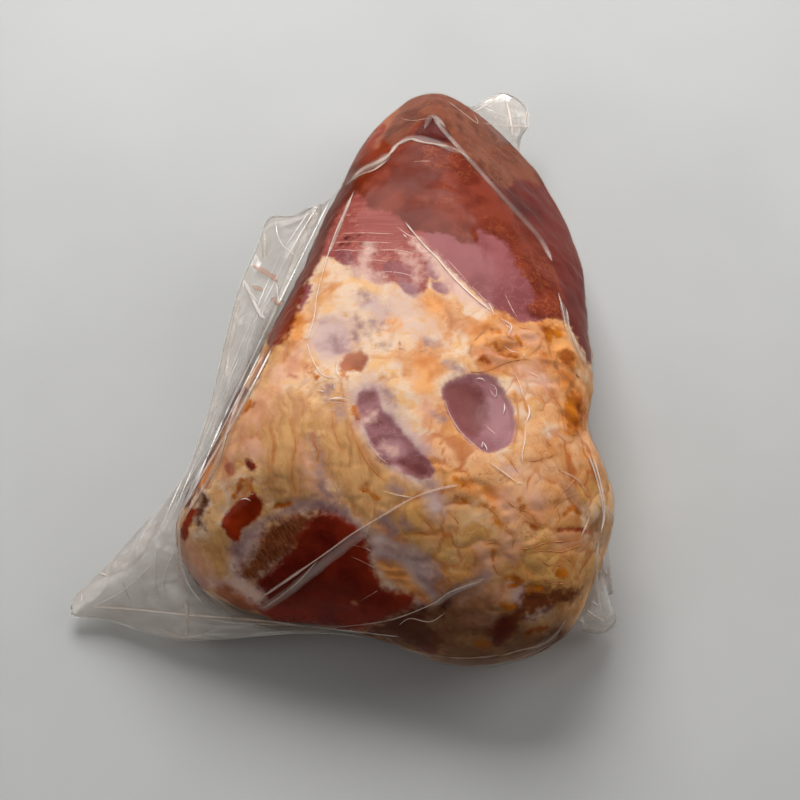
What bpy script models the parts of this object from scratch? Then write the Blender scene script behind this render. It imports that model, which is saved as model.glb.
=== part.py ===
"""Smoked pork shoulder, shrunk tight into a clear bag: one solid with the bag's loose film fused to it.

The joint lies with its fat side up. X runs to its right, Y to its narrow end, Z up, and the origin is the
middle of the flat that it rests on. Sizes are in millimetres until a mesh is written, in metres.
"""

import math

import bmesh
import bpy
import numpy as np

MM = 0.001

# Driving sizes of the joint of meat
SUMMIT_HEIGHT = 106.0
NARROW_END_HEIGHT = 82.0
RIM_HEIGHT = 42.0
BELLY_DEPTH = 52.0
SUMMIT_Y = -60.0
NARROW_END_Y = 120.0
PLAN_CENTRE = np.array([0.0, -20.0])
SIDE_FULLNESS = 0.72
CROWN_FULLNESS = 0.86

# The widest line of the joint, seen from above, as X and Y
PLAN_OUTLINE = (
    (94, 0), (93, -38), (98, -80), (91, -112), (77, -137), (50, -149), (20, -150), (-8, -140),
    (-36, -131), (-66, -128), (-91, -118), (-105, -95), (-106, -68), (-98, -40), (-84, -14),
    (-68, 20), (-52, 58), (-38, 96), (-20, 136), (2, 162), (24, 165), (50, 154), (74, 134),
    (87, 106), (94, 60),
)

# Trimming cuts, each a point on the cut, the way it faces and how softly its edge is rounded
CUTS = {
    "right_side": {"point": (56, 65, 75), "facing": (0.60, 0.38, 0.70), "edge": 3.5},
    "left_side": {"point": (-54, 19, 80), "facing": (-0.92, 0.37, 0.15), "edge": 3.0},
    "narrow_end": {"point": (-8, 110, 73), "facing": (-0.45, 0.54, 0.71), "edge": 3.5},
    "top": {"point": (10, 60, 84), "facing": (0.02, 0.17, 0.985), "edge": 5.0},
    "near_side": {"point": (-32, -117, 72), "facing": (-0.20, -0.70, 0.68), "edge": 9.0},
}

# Swellings and hollows of the surface: the middle, the reach and the rise, which is below zero in a hollow
LUMPS = {
    "right_fat": {"middle": (92, -78, 60), "reach": 32.0, "rise": 5.0},
    "right_waist": {"middle": (96, -42, 50), "reach": 14.0, "rise": -4.0},
    "upper_right_fat": {"middle": (88, -8, 66), "reach": 24.0, "rise": 4.0},
    "near_muscle": {"middle": (-32, -112, 72), "reach": 34.0, "rise": 4.0},
    "near_corner": {"middle": (50, -135, 50), "reach": 36.0, "rise": 4.0},
    "left_corner": {"middle": (-96, -88, 52), "reach": 26.0, "rise": 3.0},
    "middle_fat": {"middle": (24, -70, 104), "reach": 44.0, "rise": 3.0},
    "round_muscle": {"middle": (37, -50, 102), "reach": 17.0, "rise": -3.5},
    "long_muscle": {"middle": (0, -58, 104), "reach": 15.0, "rise": -3.0},
    "blade_hollow": {"middle": (-30, -8, 92), "reach": 16.0, "rise": -2.0},
}
CORE_NEAR = np.array([0.0, -90.0, 44.0])
CORE_FAR = np.array([20.0, 105.0, 36.0])

# The bag's loose film: each flap's free edge from end to end, the heights between which its root runs, inside
# the meat, and the soft waves of its middle. Steps are the faces along the edge and across to it.
FILM_THICKNESS = 1.4
ROOT_INSET = 0.86
WAVE_LEAN = 1.5
FLAPS = {
    "side": {
        "root_heights": (58, 26),
        "edge": (
            (-32, 100, 60), (-52, 86, 50), (-68, 88, 42), (-74, 74, 38), (-84, 48, 34), (-91, 15, 30),
            (-98, -20, 26), (-109, -54, 22), (-129, -92, 16), (-148, -101, 13), (-160, -109, 11),
            (-161, -119, 9), (-146, -120, 8), (-115, -130, 9), (-93, -132, 12), (-50, -131, 19),
            (-22, -134, 24), (0, -143, 30),
        ),
        "steps": (56, 5),
        "ripple": 1.6,
        "waves": 9,
    },
    "neck_tail": {
        "root_heights": (34, 34),
        "edge": ((38, 160, 34), (49, 170, 32), (58, 171, 34), (69, 162, 32), (69, 145, 30)),
        "steps": (10, 4),
        "ripple": 0.8,
        "waves": 2,
    },
    "heel_tail": {
        "root_heights": (36, 24),
        "edge": ((97, -84, 42), (101, -100, 29), (102, -116, 18), (100, -124, 13), (84, -127, 20)),
        "steps": (12, 4),
        "ripple": 0.8,
        "waves": 2,
    },
}

GRID_CUTS = 24
EDGE_SAMPLES = 400
OUTLINE_SAMPLES = 720
SHARP_ANGLE = 60.0


def spline_between(before, start, end, after, t):
    """The points from start to end of a smooth curve that passes through all four (Catmull-Rom)."""
    return 0.5 * (
        2 * start
        + (end - before) * t
        + (2 * before - 5 * start + 4 * end - after) * t**2
        + (3 * start - before - 3 * end + after) * t**3
    )


def closed_curve(points, samples):
    """A smooth closed curve through the points, as samples evenly spaced in its parameter."""
    points = np.array(points, float)
    at = np.arange(samples) / samples * len(points)
    first = at.astype(int)
    four = (points[(first + k) % len(points)] for k in (-1, 0, 1, 2))
    return spline_between(*four, (at - first)[:, None])


def open_curve(points, samples):
    """A smooth open curve through the points, whose ends run straight on."""
    points = np.array(points, float)
    padded = np.vstack([2 * points[0] - points[1], points, 2 * points[-1] - points[-2]])
    at = np.linspace(0, len(points) - 1, samples)
    first = np.minimum(at.astype(int), len(points) - 2)
    four = (padded[first + k] for k in (0, 1, 2, 3))
    return spline_between(*four, (at - first)[:, None])


def plan_radius(angle):
    """How far the widest line is from the plan's centre, at each angle."""
    line = closed_curve(PLAN_OUTLINE, OUTLINE_SAMPLES) - PLAN_CENTRE
    angles = np.unwrap(np.arctan2(line[:, 1], line[:, 0]))
    order = np.argsort(angles)
    return np.interp(angle, angles[order], np.hypot(*line[order].T), period=2 * math.pi)


def smooth_step(x, low, high):
    """0 below low and 1 above high, easing between them."""
    t = np.clip((x - low) / (high - low), 0, 1)
    return t * t * (3 - 2 * t)


def trim(points, cut):
    """Moves what lies beyond a knife cut back onto it, with a rounded edge."""
    facing = np.array(cut["facing"], float)
    facing /= np.linalg.norm(facing)
    beyond = (points - np.array(cut["point"], float)) @ facing / cut["edge"]
    excess = np.logaddexp(0, beyond) * cut["edge"]
    return points - excess[:, None] * facing


def outward(points):
    """The way out from the bone that runs along the joint."""
    along = CORE_FAR - CORE_NEAR
    share = np.clip((points - CORE_NEAR) @ along / (along @ along), 0, 1)
    away = points - (CORE_NEAR + share[:, None] * along)
    return away / np.linalg.norm(away, axis=1)[:, None]


def swell(points, lump):
    """Raises a round swelling, or sinks a hollow."""
    squared = ((points - np.array(lump["middle"], float)) ** 2).sum(axis=1)
    rise = lump["rise"] * np.exp(-squared / lump["reach"] ** 2)
    return points + rise[:, None] * outward(points)


def joint_surface(directions):
    """The joint's surface point for each unit direction from its middle."""
    level = np.hypot(directions[:, 0], directions[:, 1])
    angle = np.arctan2(directions[:, 1], directions[:, 0])
    reach = plan_radius(angle) * level**SIDE_FULLNESS
    plan = PLAN_CENTRE + reach[:, None] * directions[:, :2] / np.maximum(level, 1e-9)[:, None]
    narrowing = smooth_step(plan[:, 1], SUMMIT_Y, NARROW_END_Y)
    crown = SUMMIT_HEIGHT + (NARROW_END_HEIGHT - SUMMIT_HEIGHT) * narrowing
    lift = np.abs(directions[:, 2]) ** CROWN_FULLNESS
    height = np.where(
        directions[:, 2] > 0,
        RIM_HEIGHT + (crown - RIM_HEIGHT) * lift,
        RIM_HEIGHT - BELLY_DEPTH * lift,
    )
    points = np.column_stack([plan, height])
    for cut in CUTS.values():
        points = trim(points, cut)
    for lump in LUMPS.values():
        points = swell(points, lump)
    points[:, 2] = np.maximum(points[:, 2], 0)
    return points


def free_angles(edge):
    """The direction of each point of a free edge from the plan's centre, without jumps."""
    spokes = np.array(edge, float)[:, :2] - PLAN_CENTRE
    return np.unwrap(np.arctan2(spokes[:, 1], spokes[:, 0]))


def flap_surface(flap, along, across):
    """The film's middle surface, from its root in the meat (across 0) to its free edge (across 1)."""
    edge = open_curve(flap["edge"], EDGE_SAMPLES)
    places = np.linspace(0, 1, EDGE_SAMPLES)
    free = np.column_stack([np.interp(along, places, edge[:, k]) for k in range(3)])
    spokes = free_angles(flap["edge"])
    angle = spokes[0] + (spokes[-1] - spokes[0]) * along
    first, last = flap["root_heights"]
    way = np.column_stack([np.cos(angle), np.sin(angle)])
    root = np.column_stack([
        PLAN_CENTRE + (plan_radius(angle) * ROOT_INSET)[:, None] * way,
        first + (last - first) * along,
    ])
    points = root + (free - root) * across[:, None]
    wave = np.sin(2 * math.pi * flap["waves"] * along + WAVE_LEAN * across)
    points[:, 2] += flap["ripple"] * wave * np.sin(math.pi * across)
    return points


def mesh_object(name, mesh):
    """An object in the scene's own collection that shows the mesh."""
    made = bpy.data.objects.new(name, mesh)
    bpy.context.scene.collection.objects.link(made)
    return made


def take_points(mesh, points):
    """Moves a mesh's vertices to points in millimetres."""
    mesh.vertices.foreach_set("co", (points * MM).astype(np.float32).ravel())
    mesh.update()


def make_joint(name):
    """The joint of meat: a cube's grid blown up to a ball, then shaped, trimmed and swollen."""
    mesh = bpy.data.meshes.new(name)
    ball = bmesh.new()
    bmesh.ops.create_cube(ball, size=2)
    bmesh.ops.subdivide_edges(ball, edges=ball.edges[:], cuts=GRID_CUTS, use_grid_fill=True)
    ball.to_mesh(mesh)
    ball.free()
    cube = np.empty(len(mesh.vertices) * 3, np.float32)
    mesh.vertices.foreach_get("co", cube)
    cube = np.tan(cube.reshape(-1, 3).astype(float) * math.pi / 4)
    take_points(mesh, joint_surface(cube / np.linalg.norm(cube, axis=1)[:, None]))
    return mesh_object(name, mesh)


def make_flap(name, flap):
    """One loose stretch of the bag's film, with its real folds left to a few soft waves."""
    along_steps, across_steps = flap["steps"]
    mesh = bpy.data.meshes.new(name)
    sheet = bmesh.new()
    bmesh.ops.create_grid(sheet, x_segments=along_steps, y_segments=across_steps, size=0.5)
    sheet.to_mesh(mesh)
    sheet.free()
    flat = np.empty(len(mesh.vertices) * 3, np.float32)
    mesh.vertices.foreach_get("co", flat)
    flat = flat.reshape(-1, 3).astype(float) + 0.5
    take_points(mesh, flap_surface(flap, flat[:, 0], flat[:, 1]))
    made = mesh_object(name, mesh)
    wall = made.modifiers.new("Film thickness", "SOLIDIFY")
    wall.thickness = FILM_THICKNESS * MM
    wall.offset = 0
    return made


def fuse(body, pieces):
    """Joins the pieces to the body in one union, applies it and removes them.

    The exact solver leaves the thin film touching itself along an edge, so the union is made by Manifold.
    """
    group = bpy.data.collections.new("Loose film")
    bpy.context.scene.collection.children.link(group)
    for piece in pieces:
        bpy.context.scene.collection.objects.unlink(piece)
        group.objects.link(piece)
    union = body.modifiers.new("Film fused on", "BOOLEAN")
    union.operation = "UNION"
    union.operand_type = "COLLECTION"
    union.collection = group
    union.solver = "MANIFOLD"
    bpy.context.view_layer.update()
    graph = bpy.context.evaluated_depsgraph_get()
    joined = bpy.data.meshes.new_from_object(body.evaluated_get(graph))
    body.modifiers.clear()
    body.data = joined
    for piece in pieces:
        bpy.data.objects.remove(piece)
    bpy.data.collections.remove(group)


def film_material():
    """Clear shrink film over red-brown smoked meat and orange fat, seen as one colour."""
    material = bpy.data.materials.new("Bagged smoked meat")
    material.use_nodes = True
    shader = material.node_tree.nodes["Principled BSDF"]
    shader.inputs["Base Color"].default_value = (0.42, 0.19, 0.09, 1)
    shader.inputs["Roughness"].default_value = 0.22
    shader.inputs["Metallic"].default_value = 0
    return material


def main():
    """Builds the bagged joint alone in the scene."""
    for old in list(bpy.data.objects):
        bpy.data.objects.remove(old)
    joint = make_joint("bagged_shoulder")
    fuse(joint, [make_flap(name, flap) for name, flap in FLAPS.items()])
    joint.data.materials.clear()
    joint.data.materials.append(film_material())
    joint.data.shade_smooth()
    joint.data.set_sharp_from_angle(angle=math.radians(SHARP_ANGLE))
    home = bpy.data.collections.new("Smoked pork shoulder")
    bpy.context.scene.collection.children.link(home)
    bpy.context.scene.collection.objects.unlink(joint)
    home.objects.link(joint)


main()
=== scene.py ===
"""Smoked pork shoulder in a clear shrink bag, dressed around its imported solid.

The joint lies with its fat side up. X runs to its right, Y to its narrow end and Z up. Shapes are worked
out in millimetres, and a mesh is written in metres. The outlines of the tissues are pixels of the 800 x 800
photograph, read through the camera that PhotoCamera holds.
"""

import logging
import math
from dataclasses import dataclass, field
from enum import Enum
from typing import Iterable, Sequence

import bmesh
import bpy
import numpy as np
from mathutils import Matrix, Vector
from mathutils.bvhtree import BVHTree


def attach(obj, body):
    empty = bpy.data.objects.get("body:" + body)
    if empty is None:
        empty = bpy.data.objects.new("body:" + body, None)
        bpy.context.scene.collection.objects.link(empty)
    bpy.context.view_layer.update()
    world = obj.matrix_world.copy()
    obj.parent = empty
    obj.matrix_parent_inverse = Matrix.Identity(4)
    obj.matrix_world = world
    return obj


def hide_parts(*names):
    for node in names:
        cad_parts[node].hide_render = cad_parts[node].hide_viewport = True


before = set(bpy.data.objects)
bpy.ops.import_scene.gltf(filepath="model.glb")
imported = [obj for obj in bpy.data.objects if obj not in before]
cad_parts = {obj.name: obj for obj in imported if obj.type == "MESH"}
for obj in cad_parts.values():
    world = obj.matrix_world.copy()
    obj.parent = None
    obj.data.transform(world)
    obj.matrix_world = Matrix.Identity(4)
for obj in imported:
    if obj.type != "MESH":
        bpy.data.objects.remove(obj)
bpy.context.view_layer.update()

LOG = logging.getLogger("shoulder")
MM = 0.001
BODY = "root"
CAD_NODE = "bagged_shoulder"
Array = np.ndarray
Pixels = tuple[tuple[float, float], ...]


class Slot(Enum):
    """The record's material slots."""

    MEAT = "smoked_meat"
    FILM = "shrink_film"


class Tissue(Enum):
    """The tissues that show through the film, in the order in which they are laid over the fat."""

    LAVENDER = "lavender_fascia"
    TAN = "ochre_sheet"
    ORANGE_FAT = "orange_fat"
    ROSE = "rosy_fascia"
    PINK = "pink_muscle"
    MAUVE_AND_VEIL = "mauve_muscle_and_painted_veil"
    SMOKED = "smoked_muscle"
    FAR_BROWN = "far_brown_muscle"
    MAROON = "maroon_face"
    STRIP = "side_strip_and_painted_shade"
    VIOLET = "violet_smudge"
    VEIN = "fat_vein"
    PURPLE = "purple_muscle"
    DEEP_PURPLE = "deep_purple_muscle"
    BROWN = "brown_meat_and_painted_shade"
    FIBROUS = "fibrous_brown"
    DARK = "dark_near_muscle"
    SALMON = "salmon_muscle"
    PALE = "pale_fascia"
    AMBER = "amber_fat"
    GLAZE = "red_glaze"


class Pattern(Enum):
    """Random patterns from 0 to 1 that are stored at the vertices."""

    MOTTLE = "mottle"
    BROAD = "broad"
    BRUISE = "bruise"
    LOBE_EDGE = "lobe_edge"
    LOBE_TONE = "lobe_tone"


class Wash(Enum):
    """The soft changes of colour across the fat, and the painted shade towards its near and right edges."""

    PEACH = "peach_wash"
    OCHRE = "ochre_wash"
    PAINTED_SHADE = "painted_shade_wash"


# Places and pixels


@dataclass(frozen=True)
class PhotoCamera:
    """The camera that took the photograph, as near as its outline tells."""

    elevation: float = math.radians(65.0)
    target: tuple[float, float, float] = (0.0, -16.0, 40.0)
    view_width: float = 400.0
    lens: float = 85.0
    sensor: float = 36.0
    pixels: int = 800

    def axes(self) -> Array:
        """The camera's right, up and backward directions, as rows."""
        sine, cosine = math.sin(self.elevation), math.cos(self.elevation)
        return np.array([[1.0, 0.0, 0.0], [0.0, sine, cosine], [0.0, -cosine, sine]])

    def place(self) -> Array:
        """Where the camera stands, in millimetres."""
        return np.array(self.target) + self.view_width * self.lens / self.sensor * self.axes()[2]

    def pixels_of(self, points: Array) -> Array:
        """The pixel at which each point shows.

        Args:
            points: Places in millimetres, one a row.

        Returns:
            Column and row of each point's pixel.
        """
        seen = (points - self.place()) @ self.axes().T
        scale = self.pixels * self.lens / self.sensor / -seen[:, 2]
        half = self.pixels / 2
        return np.column_stack([half + scale * seen[:, 0], half - scale * seen[:, 1]])

    def ray(self, pixel: Sequence[float]) -> Array:
        """The direction from the camera through a pixel.

        Args:
            pixel: The pixel's column and row.

        Returns:
            The unit direction.
        """
        scale = self.sensor / self.lens / self.pixels
        half = self.pixels / 2
        way = np.array([(pixel[0] - half) * scale, (half - pixel[1]) * scale, -1.0]) @ self.axes()
        return way / np.linalg.norm(way)

    def facing(self, points: Array, normals: Array) -> Array:
        """The cosine between each surface normal and the way to the camera."""
        away = self.place() - points
        return (away * normals).sum(axis=1) / np.linalg.norm(away, axis=1)


CAMERA = PhotoCamera()


def smooth_step(x: Array, low: float, high: float) -> Array:
    """0 below low and 1 above high, easing between them."""
    t = np.clip((x - low) / (high - low), 0, 1)
    return t * t * (3 - 2 * t)


def spline_between(before: Array, start: Array, end: Array, after: Array, t: Array) -> Array:
    """A smooth curve from start to end, bent as the points before and after ask.

    Args:
        before: The points before the start.
        start: The points at which the curve starts.
        end: The points at which it ends.
        after: The points after the end.
        t: The share of the way from start to end.

    Returns:
        The curve's points, one a row.
    """
    return 0.5 * (
        2 * start
        + (end - before) * t
        + (2 * before - 5 * start + 4 * end - after) * t**2
        + (3 * start - before - 3 * end + after) * t**3
    )


def closed_curve(points: Sequence, samples: int) -> Array:
    """A smooth closed curve through the points.

    Args:
        points: The points in order.
        samples: How many points the curve gets, evenly spread between the given ones.

    Returns:
        The curve's points, one a row.
    """
    points = np.array(points, float)
    at = np.arange(samples) / samples * len(points)
    first = at.astype(int)
    four = (points[(first + k) % len(points)] for k in (-1, 0, 1, 2))
    return spline_between(*four, (at - first)[:, None])


def open_curve(points: Sequence, samples: int) -> Array:
    """A smooth open curve through the points, whose ends run straight on.

    Args:
        points: The points in order.
        samples: How many points the curve gets.

    Returns:
        The curve's points, one a row.
    """
    points = np.array(points, float)
    padded = np.vstack([2 * points[0] - points[1], points, 2 * points[-1] - points[-2]])
    at = np.linspace(0, len(points) - 1, samples)
    first = np.minimum(at.astype(int), len(points) - 2)
    four = (padded[first + k] for k in (0, 1, 2, 3))
    return spline_between(*four, (at - first)[:, None])


def distance_to_line(points: Array, line: Array) -> Array:
    """How far each point is from a line of straight pieces.

    Args:
        points: Places, one a row.
        line: The line's corners, one a row, in the same units.

    Returns:
        The distance of each point.
    """
    nearest = np.full(len(points), np.inf)
    for start, end in zip(line[:-1], line[1:]):
        along = end - start
        share = np.clip((points - start) @ along / max(along @ along, 1e-12), 0, 1)
        gap = points - start - share[:, None] * along
        nearest = np.minimum(nearest, (gap * gap).sum(axis=1))
    return np.sqrt(nearest)


def inside_outline(points: Array, outline: Array) -> Array:
    """Whether each point is inside a closed outline, by counting crossings.

    Args:
        points: Places, one a row.
        outline: The outline's corners, one a row.

    Returns:
        True for each point inside.
    """
    within = np.zeros(len(points), bool)
    for start, end in zip(outline, np.roll(outline, -1, axis=0)):
        rises = (start[1] > points[:, 1]) != (end[1] > points[:, 1])
        slope = (end[0] - start[0]) / (end[1] - start[1] + 1e-12)
        within ^= rises & (points[:, 0] < start[0] + slope * (points[:, 1] - start[1]))
    return within


class Noise:
    """A smooth random field in space, the same on each run."""

    TABLE = 512

    def __init__(self, seed: int) -> None:
        """Draws the lattice's values.

        Args:
            seed: The seed of the random draw.
        """
        draw = np.random.default_rng(seed)
        self.order = draw.permutation(self.TABLE)
        self.values = draw.uniform(-1, 1, self.TABLE)
        self.offsets = draw.uniform(0, 1, (self.TABLE, 3))

    def _slot(self, cell: Array) -> Array:
        """The table row that belongs to each lattice cell.

        Args:
            cell: The cells' whole numbers, one cell a row.

        Returns:
            The row of each cell.
        """
        row = self.order[cell[:, 0] % self.TABLE]
        row = self.order[(row + cell[:, 1]) % self.TABLE]
        return self.order[(row + cell[:, 2]) % self.TABLE]

    def plain(self, points: Array, size: float) -> Array:
        """One octave of smooth noise.

        Args:
            points: Places, one a row.
            size: The size of its features.

        Returns:
            A value from -1 to 1 for each point.
        """
        place = points / size
        cell = np.floor(place).astype(int)
        t = place - cell
        t = t * t * t * (t * (t * 6 - 15) + 10)
        total = np.zeros(len(points))
        for corner in np.ndindex(2, 2, 2):
            weight = np.prod(np.where(corner, t, 1 - t), axis=1)
            total += weight * self.values[self._slot(cell + np.array(corner))]
        return total

    def fractal(self, points: Array, size: float, octaves: int = 3) -> Array:
        """Noise with finer octaves added, each half as strong and half as large."""
        return sum(self.plain(points + 37.0 * k, size / 2**k) / 2**k for k in range(octaves))

    def cells(self, points: Array, size: float) -> tuple[Array, Array, Array]:
        """The cells of a random honeycomb.

        Args:
            points: Places, one a row.
            size: The cell size.

        Returns:
            The distances to the nearest and the next cell middle as shares of the size, and the cell's tone.
        """
        place = points / size
        home = np.floor(place).astype(int)
        first = np.full(len(points), 9.0)
        second = first.copy()
        tone = np.zeros(len(points))
        for step in np.ndindex(3, 3, 3):
            cell = home + np.array(step) - 1
            slot = self._slot(cell)
            gap = np.linalg.norm(place - cell - self.offsets[slot], axis=1)
            tone = np.where(gap < first, self.values[slot] / 2 + 0.5, tone)
            second = np.minimum(second, np.maximum(first, gap))
            first = np.minimum(first, gap)
        return first, second, tone


# The joint's form, as its solid has it


@dataclass(frozen=True)
class Cut:
    """A knife cut that trims the joint: a point on it, the way it faces and how round its edge is."""

    point: tuple[float, float, float]
    facing: tuple[float, float, float]
    edge: float

    def trim(self, points: Array) -> Array:
        """Moves what lies beyond the cut back onto it.

        Args:
            points: Places, one a row.

        Returns:
            The new places.
        """
        facing = np.array(self.facing)
        facing = facing / np.linalg.norm(facing)
        beyond = (points - np.array(self.point)) @ facing / self.edge
        return points - (np.logaddexp(0, beyond) * self.edge)[:, None] * facing


@dataclass(frozen=True)
class Lump:
    """A round swelling of the surface, or a hollow where the rise is below zero."""

    middle: tuple[float, float, float]
    reach: float
    rise: float

    def swell(self, points: Array) -> Array:
        """Moves the points near the middle out by the rise."""
        squared = ((points - np.array(self.middle)) ** 2).sum(axis=1)
        return points + (self.rise * np.exp(-squared / self.reach**2))[:, None] * outward(points)


CORE = np.array([[0.0, -90.0, 44.0], [20.0, 105.0, 36.0]])


def outward(points: Array) -> Array:
    """The way out from the line along the joint's core.

    Args:
        points: Places, one a row.

    Returns:
        The unit direction at each.
    """
    along = CORE[1] - CORE[0]
    share = np.clip((points - CORE[0]) @ along / (along @ along), 0, 1)
    away = points - (CORE[0] + share[:, None] * along)
    return away / np.linalg.norm(away, axis=1)[:, None]


@dataclass(frozen=True)
class JointForm:
    """The joint's smooth outer form, as its solid has it but for a left side that leans out more."""

    summit_height: float = 106.0
    narrow_end_height: float = 82.0
    rim_height: float = 42.0
    belly_depth: float = 52.0
    summit_y: float = -60.0
    narrow_end_y: float = 120.0
    centre: tuple[float, float] = (0.0, -20.0)
    side_fullness: float = 0.72
    crown_fullness: float = 0.86
    outline_samples: int = 720
    outline: Pixels = (
        (94, 0), (93, -38), (98, -80), (91, -112), (77, -137), (50, -149), (20, -150), (-8, -140),
        (-36, -131), (-66, -128), (-91, -118), (-105, -95), (-106, -68), (-98, -40), (-84, -14),
        (-68, 20), (-52, 58), (-38, 96), (-20, 136), (2, 162), (24, 165), (50, 154), (74, 134),
        (87, 106), (94, 60),
    )
    cuts: tuple[Cut, ...] = (
        Cut(point=(56, 65, 75), facing=(0.60, 0.38, 0.70), edge=3.5),
        Cut(point=(-54, 19, 80), facing=(-0.92, 0.37, 0.36), edge=3.0),
        Cut(point=(-8, 110, 73), facing=(-0.45, 0.54, 0.71), edge=3.5),
        Cut(point=(10, 60, 84), facing=(0.02, 0.17, 0.985), edge=5.0),
        Cut(point=(-32, -117, 72), facing=(-0.20, -0.70, 0.68), edge=9.0),
    )
    lumps: tuple[Lump, ...] = (
        Lump(middle=(92, -78, 60), reach=32.0, rise=5.0),
        Lump(middle=(96, -42, 50), reach=14.0, rise=-4.0),
        Lump(middle=(88, -8, 66), reach=24.0, rise=4.0),
        Lump(middle=(-32, -112, 72), reach=34.0, rise=4.0),
        Lump(middle=(50, -135, 50), reach=36.0, rise=4.0),
        Lump(middle=(-96, -88, 52), reach=26.0, rise=3.0),
        Lump(middle=(24, -70, 104), reach=44.0, rise=3.0),
        Lump(middle=(37, -50, 102), reach=17.0, rise=-3.5),
        Lump(middle=(0, -58, 104), reach=15.0, rise=-3.0),
        Lump(middle=(-30, -8, 92), reach=16.0, rise=-2.0),
    )

    def plan_radius(self, angle: Array) -> Array:
        """How far the widest line is from the plan's centre.

        Args:
            angle: Angles seen from above, in radians.

        Returns:
            The distance at each angle.
        """
        line = closed_curve(self.outline, self.outline_samples) - np.array(self.centre)
        angles = np.unwrap(np.arctan2(line[:, 1], line[:, 0]))
        order = np.argsort(angles)
        return np.interp(angle, angles[order], np.hypot(*line[order].T), period=2 * math.pi)

    def surface(self, directions: Array) -> Array:
        """The joint's surface.

        Args:
            directions: Unit directions from its middle, one a row.

        Returns:
            The surface point in each direction.
        """
        level = np.hypot(directions[:, 0], directions[:, 1])
        angle = np.arctan2(directions[:, 1], directions[:, 0])
        reach = self.plan_radius(angle) * level**self.side_fullness
        way = directions[:, :2] / np.maximum(level, 1e-9)[:, None]
        plan = np.array(self.centre) + reach[:, None] * way
        narrowing = smooth_step(plan[:, 1], self.summit_y, self.narrow_end_y)
        crown = self.summit_height + (self.narrow_end_height - self.summit_height) * narrowing
        lift = np.abs(directions[:, 2]) ** self.crown_fullness
        over = self.rim_height + (crown - self.rim_height) * lift
        under = self.rim_height - self.belly_depth * lift
        points = np.column_stack([plan, np.where(directions[:, 2] > 0, over, under)])
        for cut in self.cuts:
            points = cut.trim(points)
        for lump in self.lumps:
            points = lump.swell(points)
        return points


@dataclass
class BlownCube:
    """A cube's grid blown up to a ball: the mesh that the meat and its film share, vertex for vertex."""

    cells: int = 124
    upward: float = 0.4
    faces: Array = field(init=False)
    directions: Array = field(init=False)
    edges: Array = field(init=False)

    def __post_init__(self) -> None:
        """Makes the grid, finer towards the top, and reads its unit directions, faces and edges."""
        box = bmesh.new()
        bmesh.ops.create_cube(box, size=2)
        bmesh.ops.subdivide_edges(box, edges=box.edges[:], cuts=self.cells - 1, use_grid_fill=True)
        mesh = bpy.data.meshes.new("grid")
        box.to_mesh(mesh)
        box.free()
        cube = np.tan(read_points(mesh) * math.pi / 4)
        ball = cube / np.linalg.norm(cube, axis=1)[:, None] + np.array([0, 0, self.upward])
        self.directions = ball / np.linalg.norm(ball, axis=1)[:, None]
        self.faces = read_indices(mesh.loops, "vertex_index").reshape(-1, 4)
        self.edges = read_indices(mesh.edges, "vertices", 2).reshape(-1, 2)
        bpy.data.meshes.remove(mesh)

    def neighbour_mean(self, values: Array) -> Array:
        """The mean of each vertex's neighbours.

        Args:
            values: A value or a point at each vertex.

        Returns:
            The mean at each, in the same form.
        """
        one, two = self.edges.T
        many = values.reshape(len(values), -1)
        total = np.column_stack([
            np.bincount(one, column[two], len(many)) + np.bincount(two, column[one], len(many))
            for column in many.T
        ])
        count = np.bincount(self.edges.ravel(), minlength=len(many))
        return (total / count[:, None]).reshape(values.shape)

    def normals(self, points: Array) -> Array:
        """The outward normals, from the quads that meet at each vertex.

        Args:
            points: The vertices' places.

        Returns:
            The unit normal at each.
        """
        corners = points[self.faces]
        face = np.cross(corners[:, 2] - corners[:, 0], corners[:, 3] - corners[:, 1])
        total = np.column_stack([
            np.bincount(self.faces.ravel(), np.repeat(face[:, k], 4), len(points)) for k in range(3)
        ])
        return total / np.linalg.norm(total, axis=1)[:, None]


# Meshes


def read_points(mesh: bpy.types.Mesh) -> Array:
    """A mesh's vertices.

    Args:
        mesh: The mesh.

    Returns:
        Their places in the mesh's own units, one a row.
    """
    flat = np.empty(len(mesh.vertices) * 3, np.float32)
    mesh.vertices.foreach_get("co", flat)
    return flat.reshape(-1, 3).astype(float)


def read_indices(items: Iterable, name: str, width: int = 1) -> Array:
    """One whole-number property of a mesh's loops or edges.

    Args:
        items: The loops or edges.
        name: The property's name.
        width: How many numbers each of them holds.

    Returns:
        The numbers in one row.
    """
    flat = np.empty(len(items) * width, np.int32)
    items.foreach_get(name, flat)
    return flat


def mesh_of(name: str, points: Array, faces: Array) -> bpy.types.Mesh:
    """A smooth-shaded mesh.

    Args:
        name: The mesh's name.
        points: Its vertices in millimetres.
        faces: Its faces' vertex numbers, one face a row.

    Returns:
        The mesh, in metres.
    """
    mesh = bpy.data.meshes.new(name)
    mesh.from_pydata((points * MM).tolist(), [], faces.tolist())
    mesh.shade_smooth()
    mesh.update()
    return mesh


def show(name: str, mesh: bpy.types.Mesh) -> bpy.types.Object:
    """An object at the origin that shows the mesh.

    Args:
        name: The object's name.
        mesh: The mesh.

    Returns:
        The object.
    """
    made = bpy.data.objects.new(name, mesh)
    bpy.context.scene.collection.objects.link(made)
    return made


def keep_values(mesh: bpy.types.Mesh, name: str, values: Array) -> None:
    """Stores a number at each vertex, under a name that materials read."""
    kept = mesh.attributes.new(name, "FLOAT", "POINT")
    kept.data.foreach_set("value", np.asarray(values, np.float32))


def hand_over(piece: bpy.types.Object, replaces: bool = False) -> bpy.types.Object:
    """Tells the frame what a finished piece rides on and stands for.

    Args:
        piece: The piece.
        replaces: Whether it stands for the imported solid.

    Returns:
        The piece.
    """
    if replaces:
        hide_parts(CAD_NODE)
    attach(piece, BODY)
    return piece


# What shows on the joint, as outlines and strokes in the photograph


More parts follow.
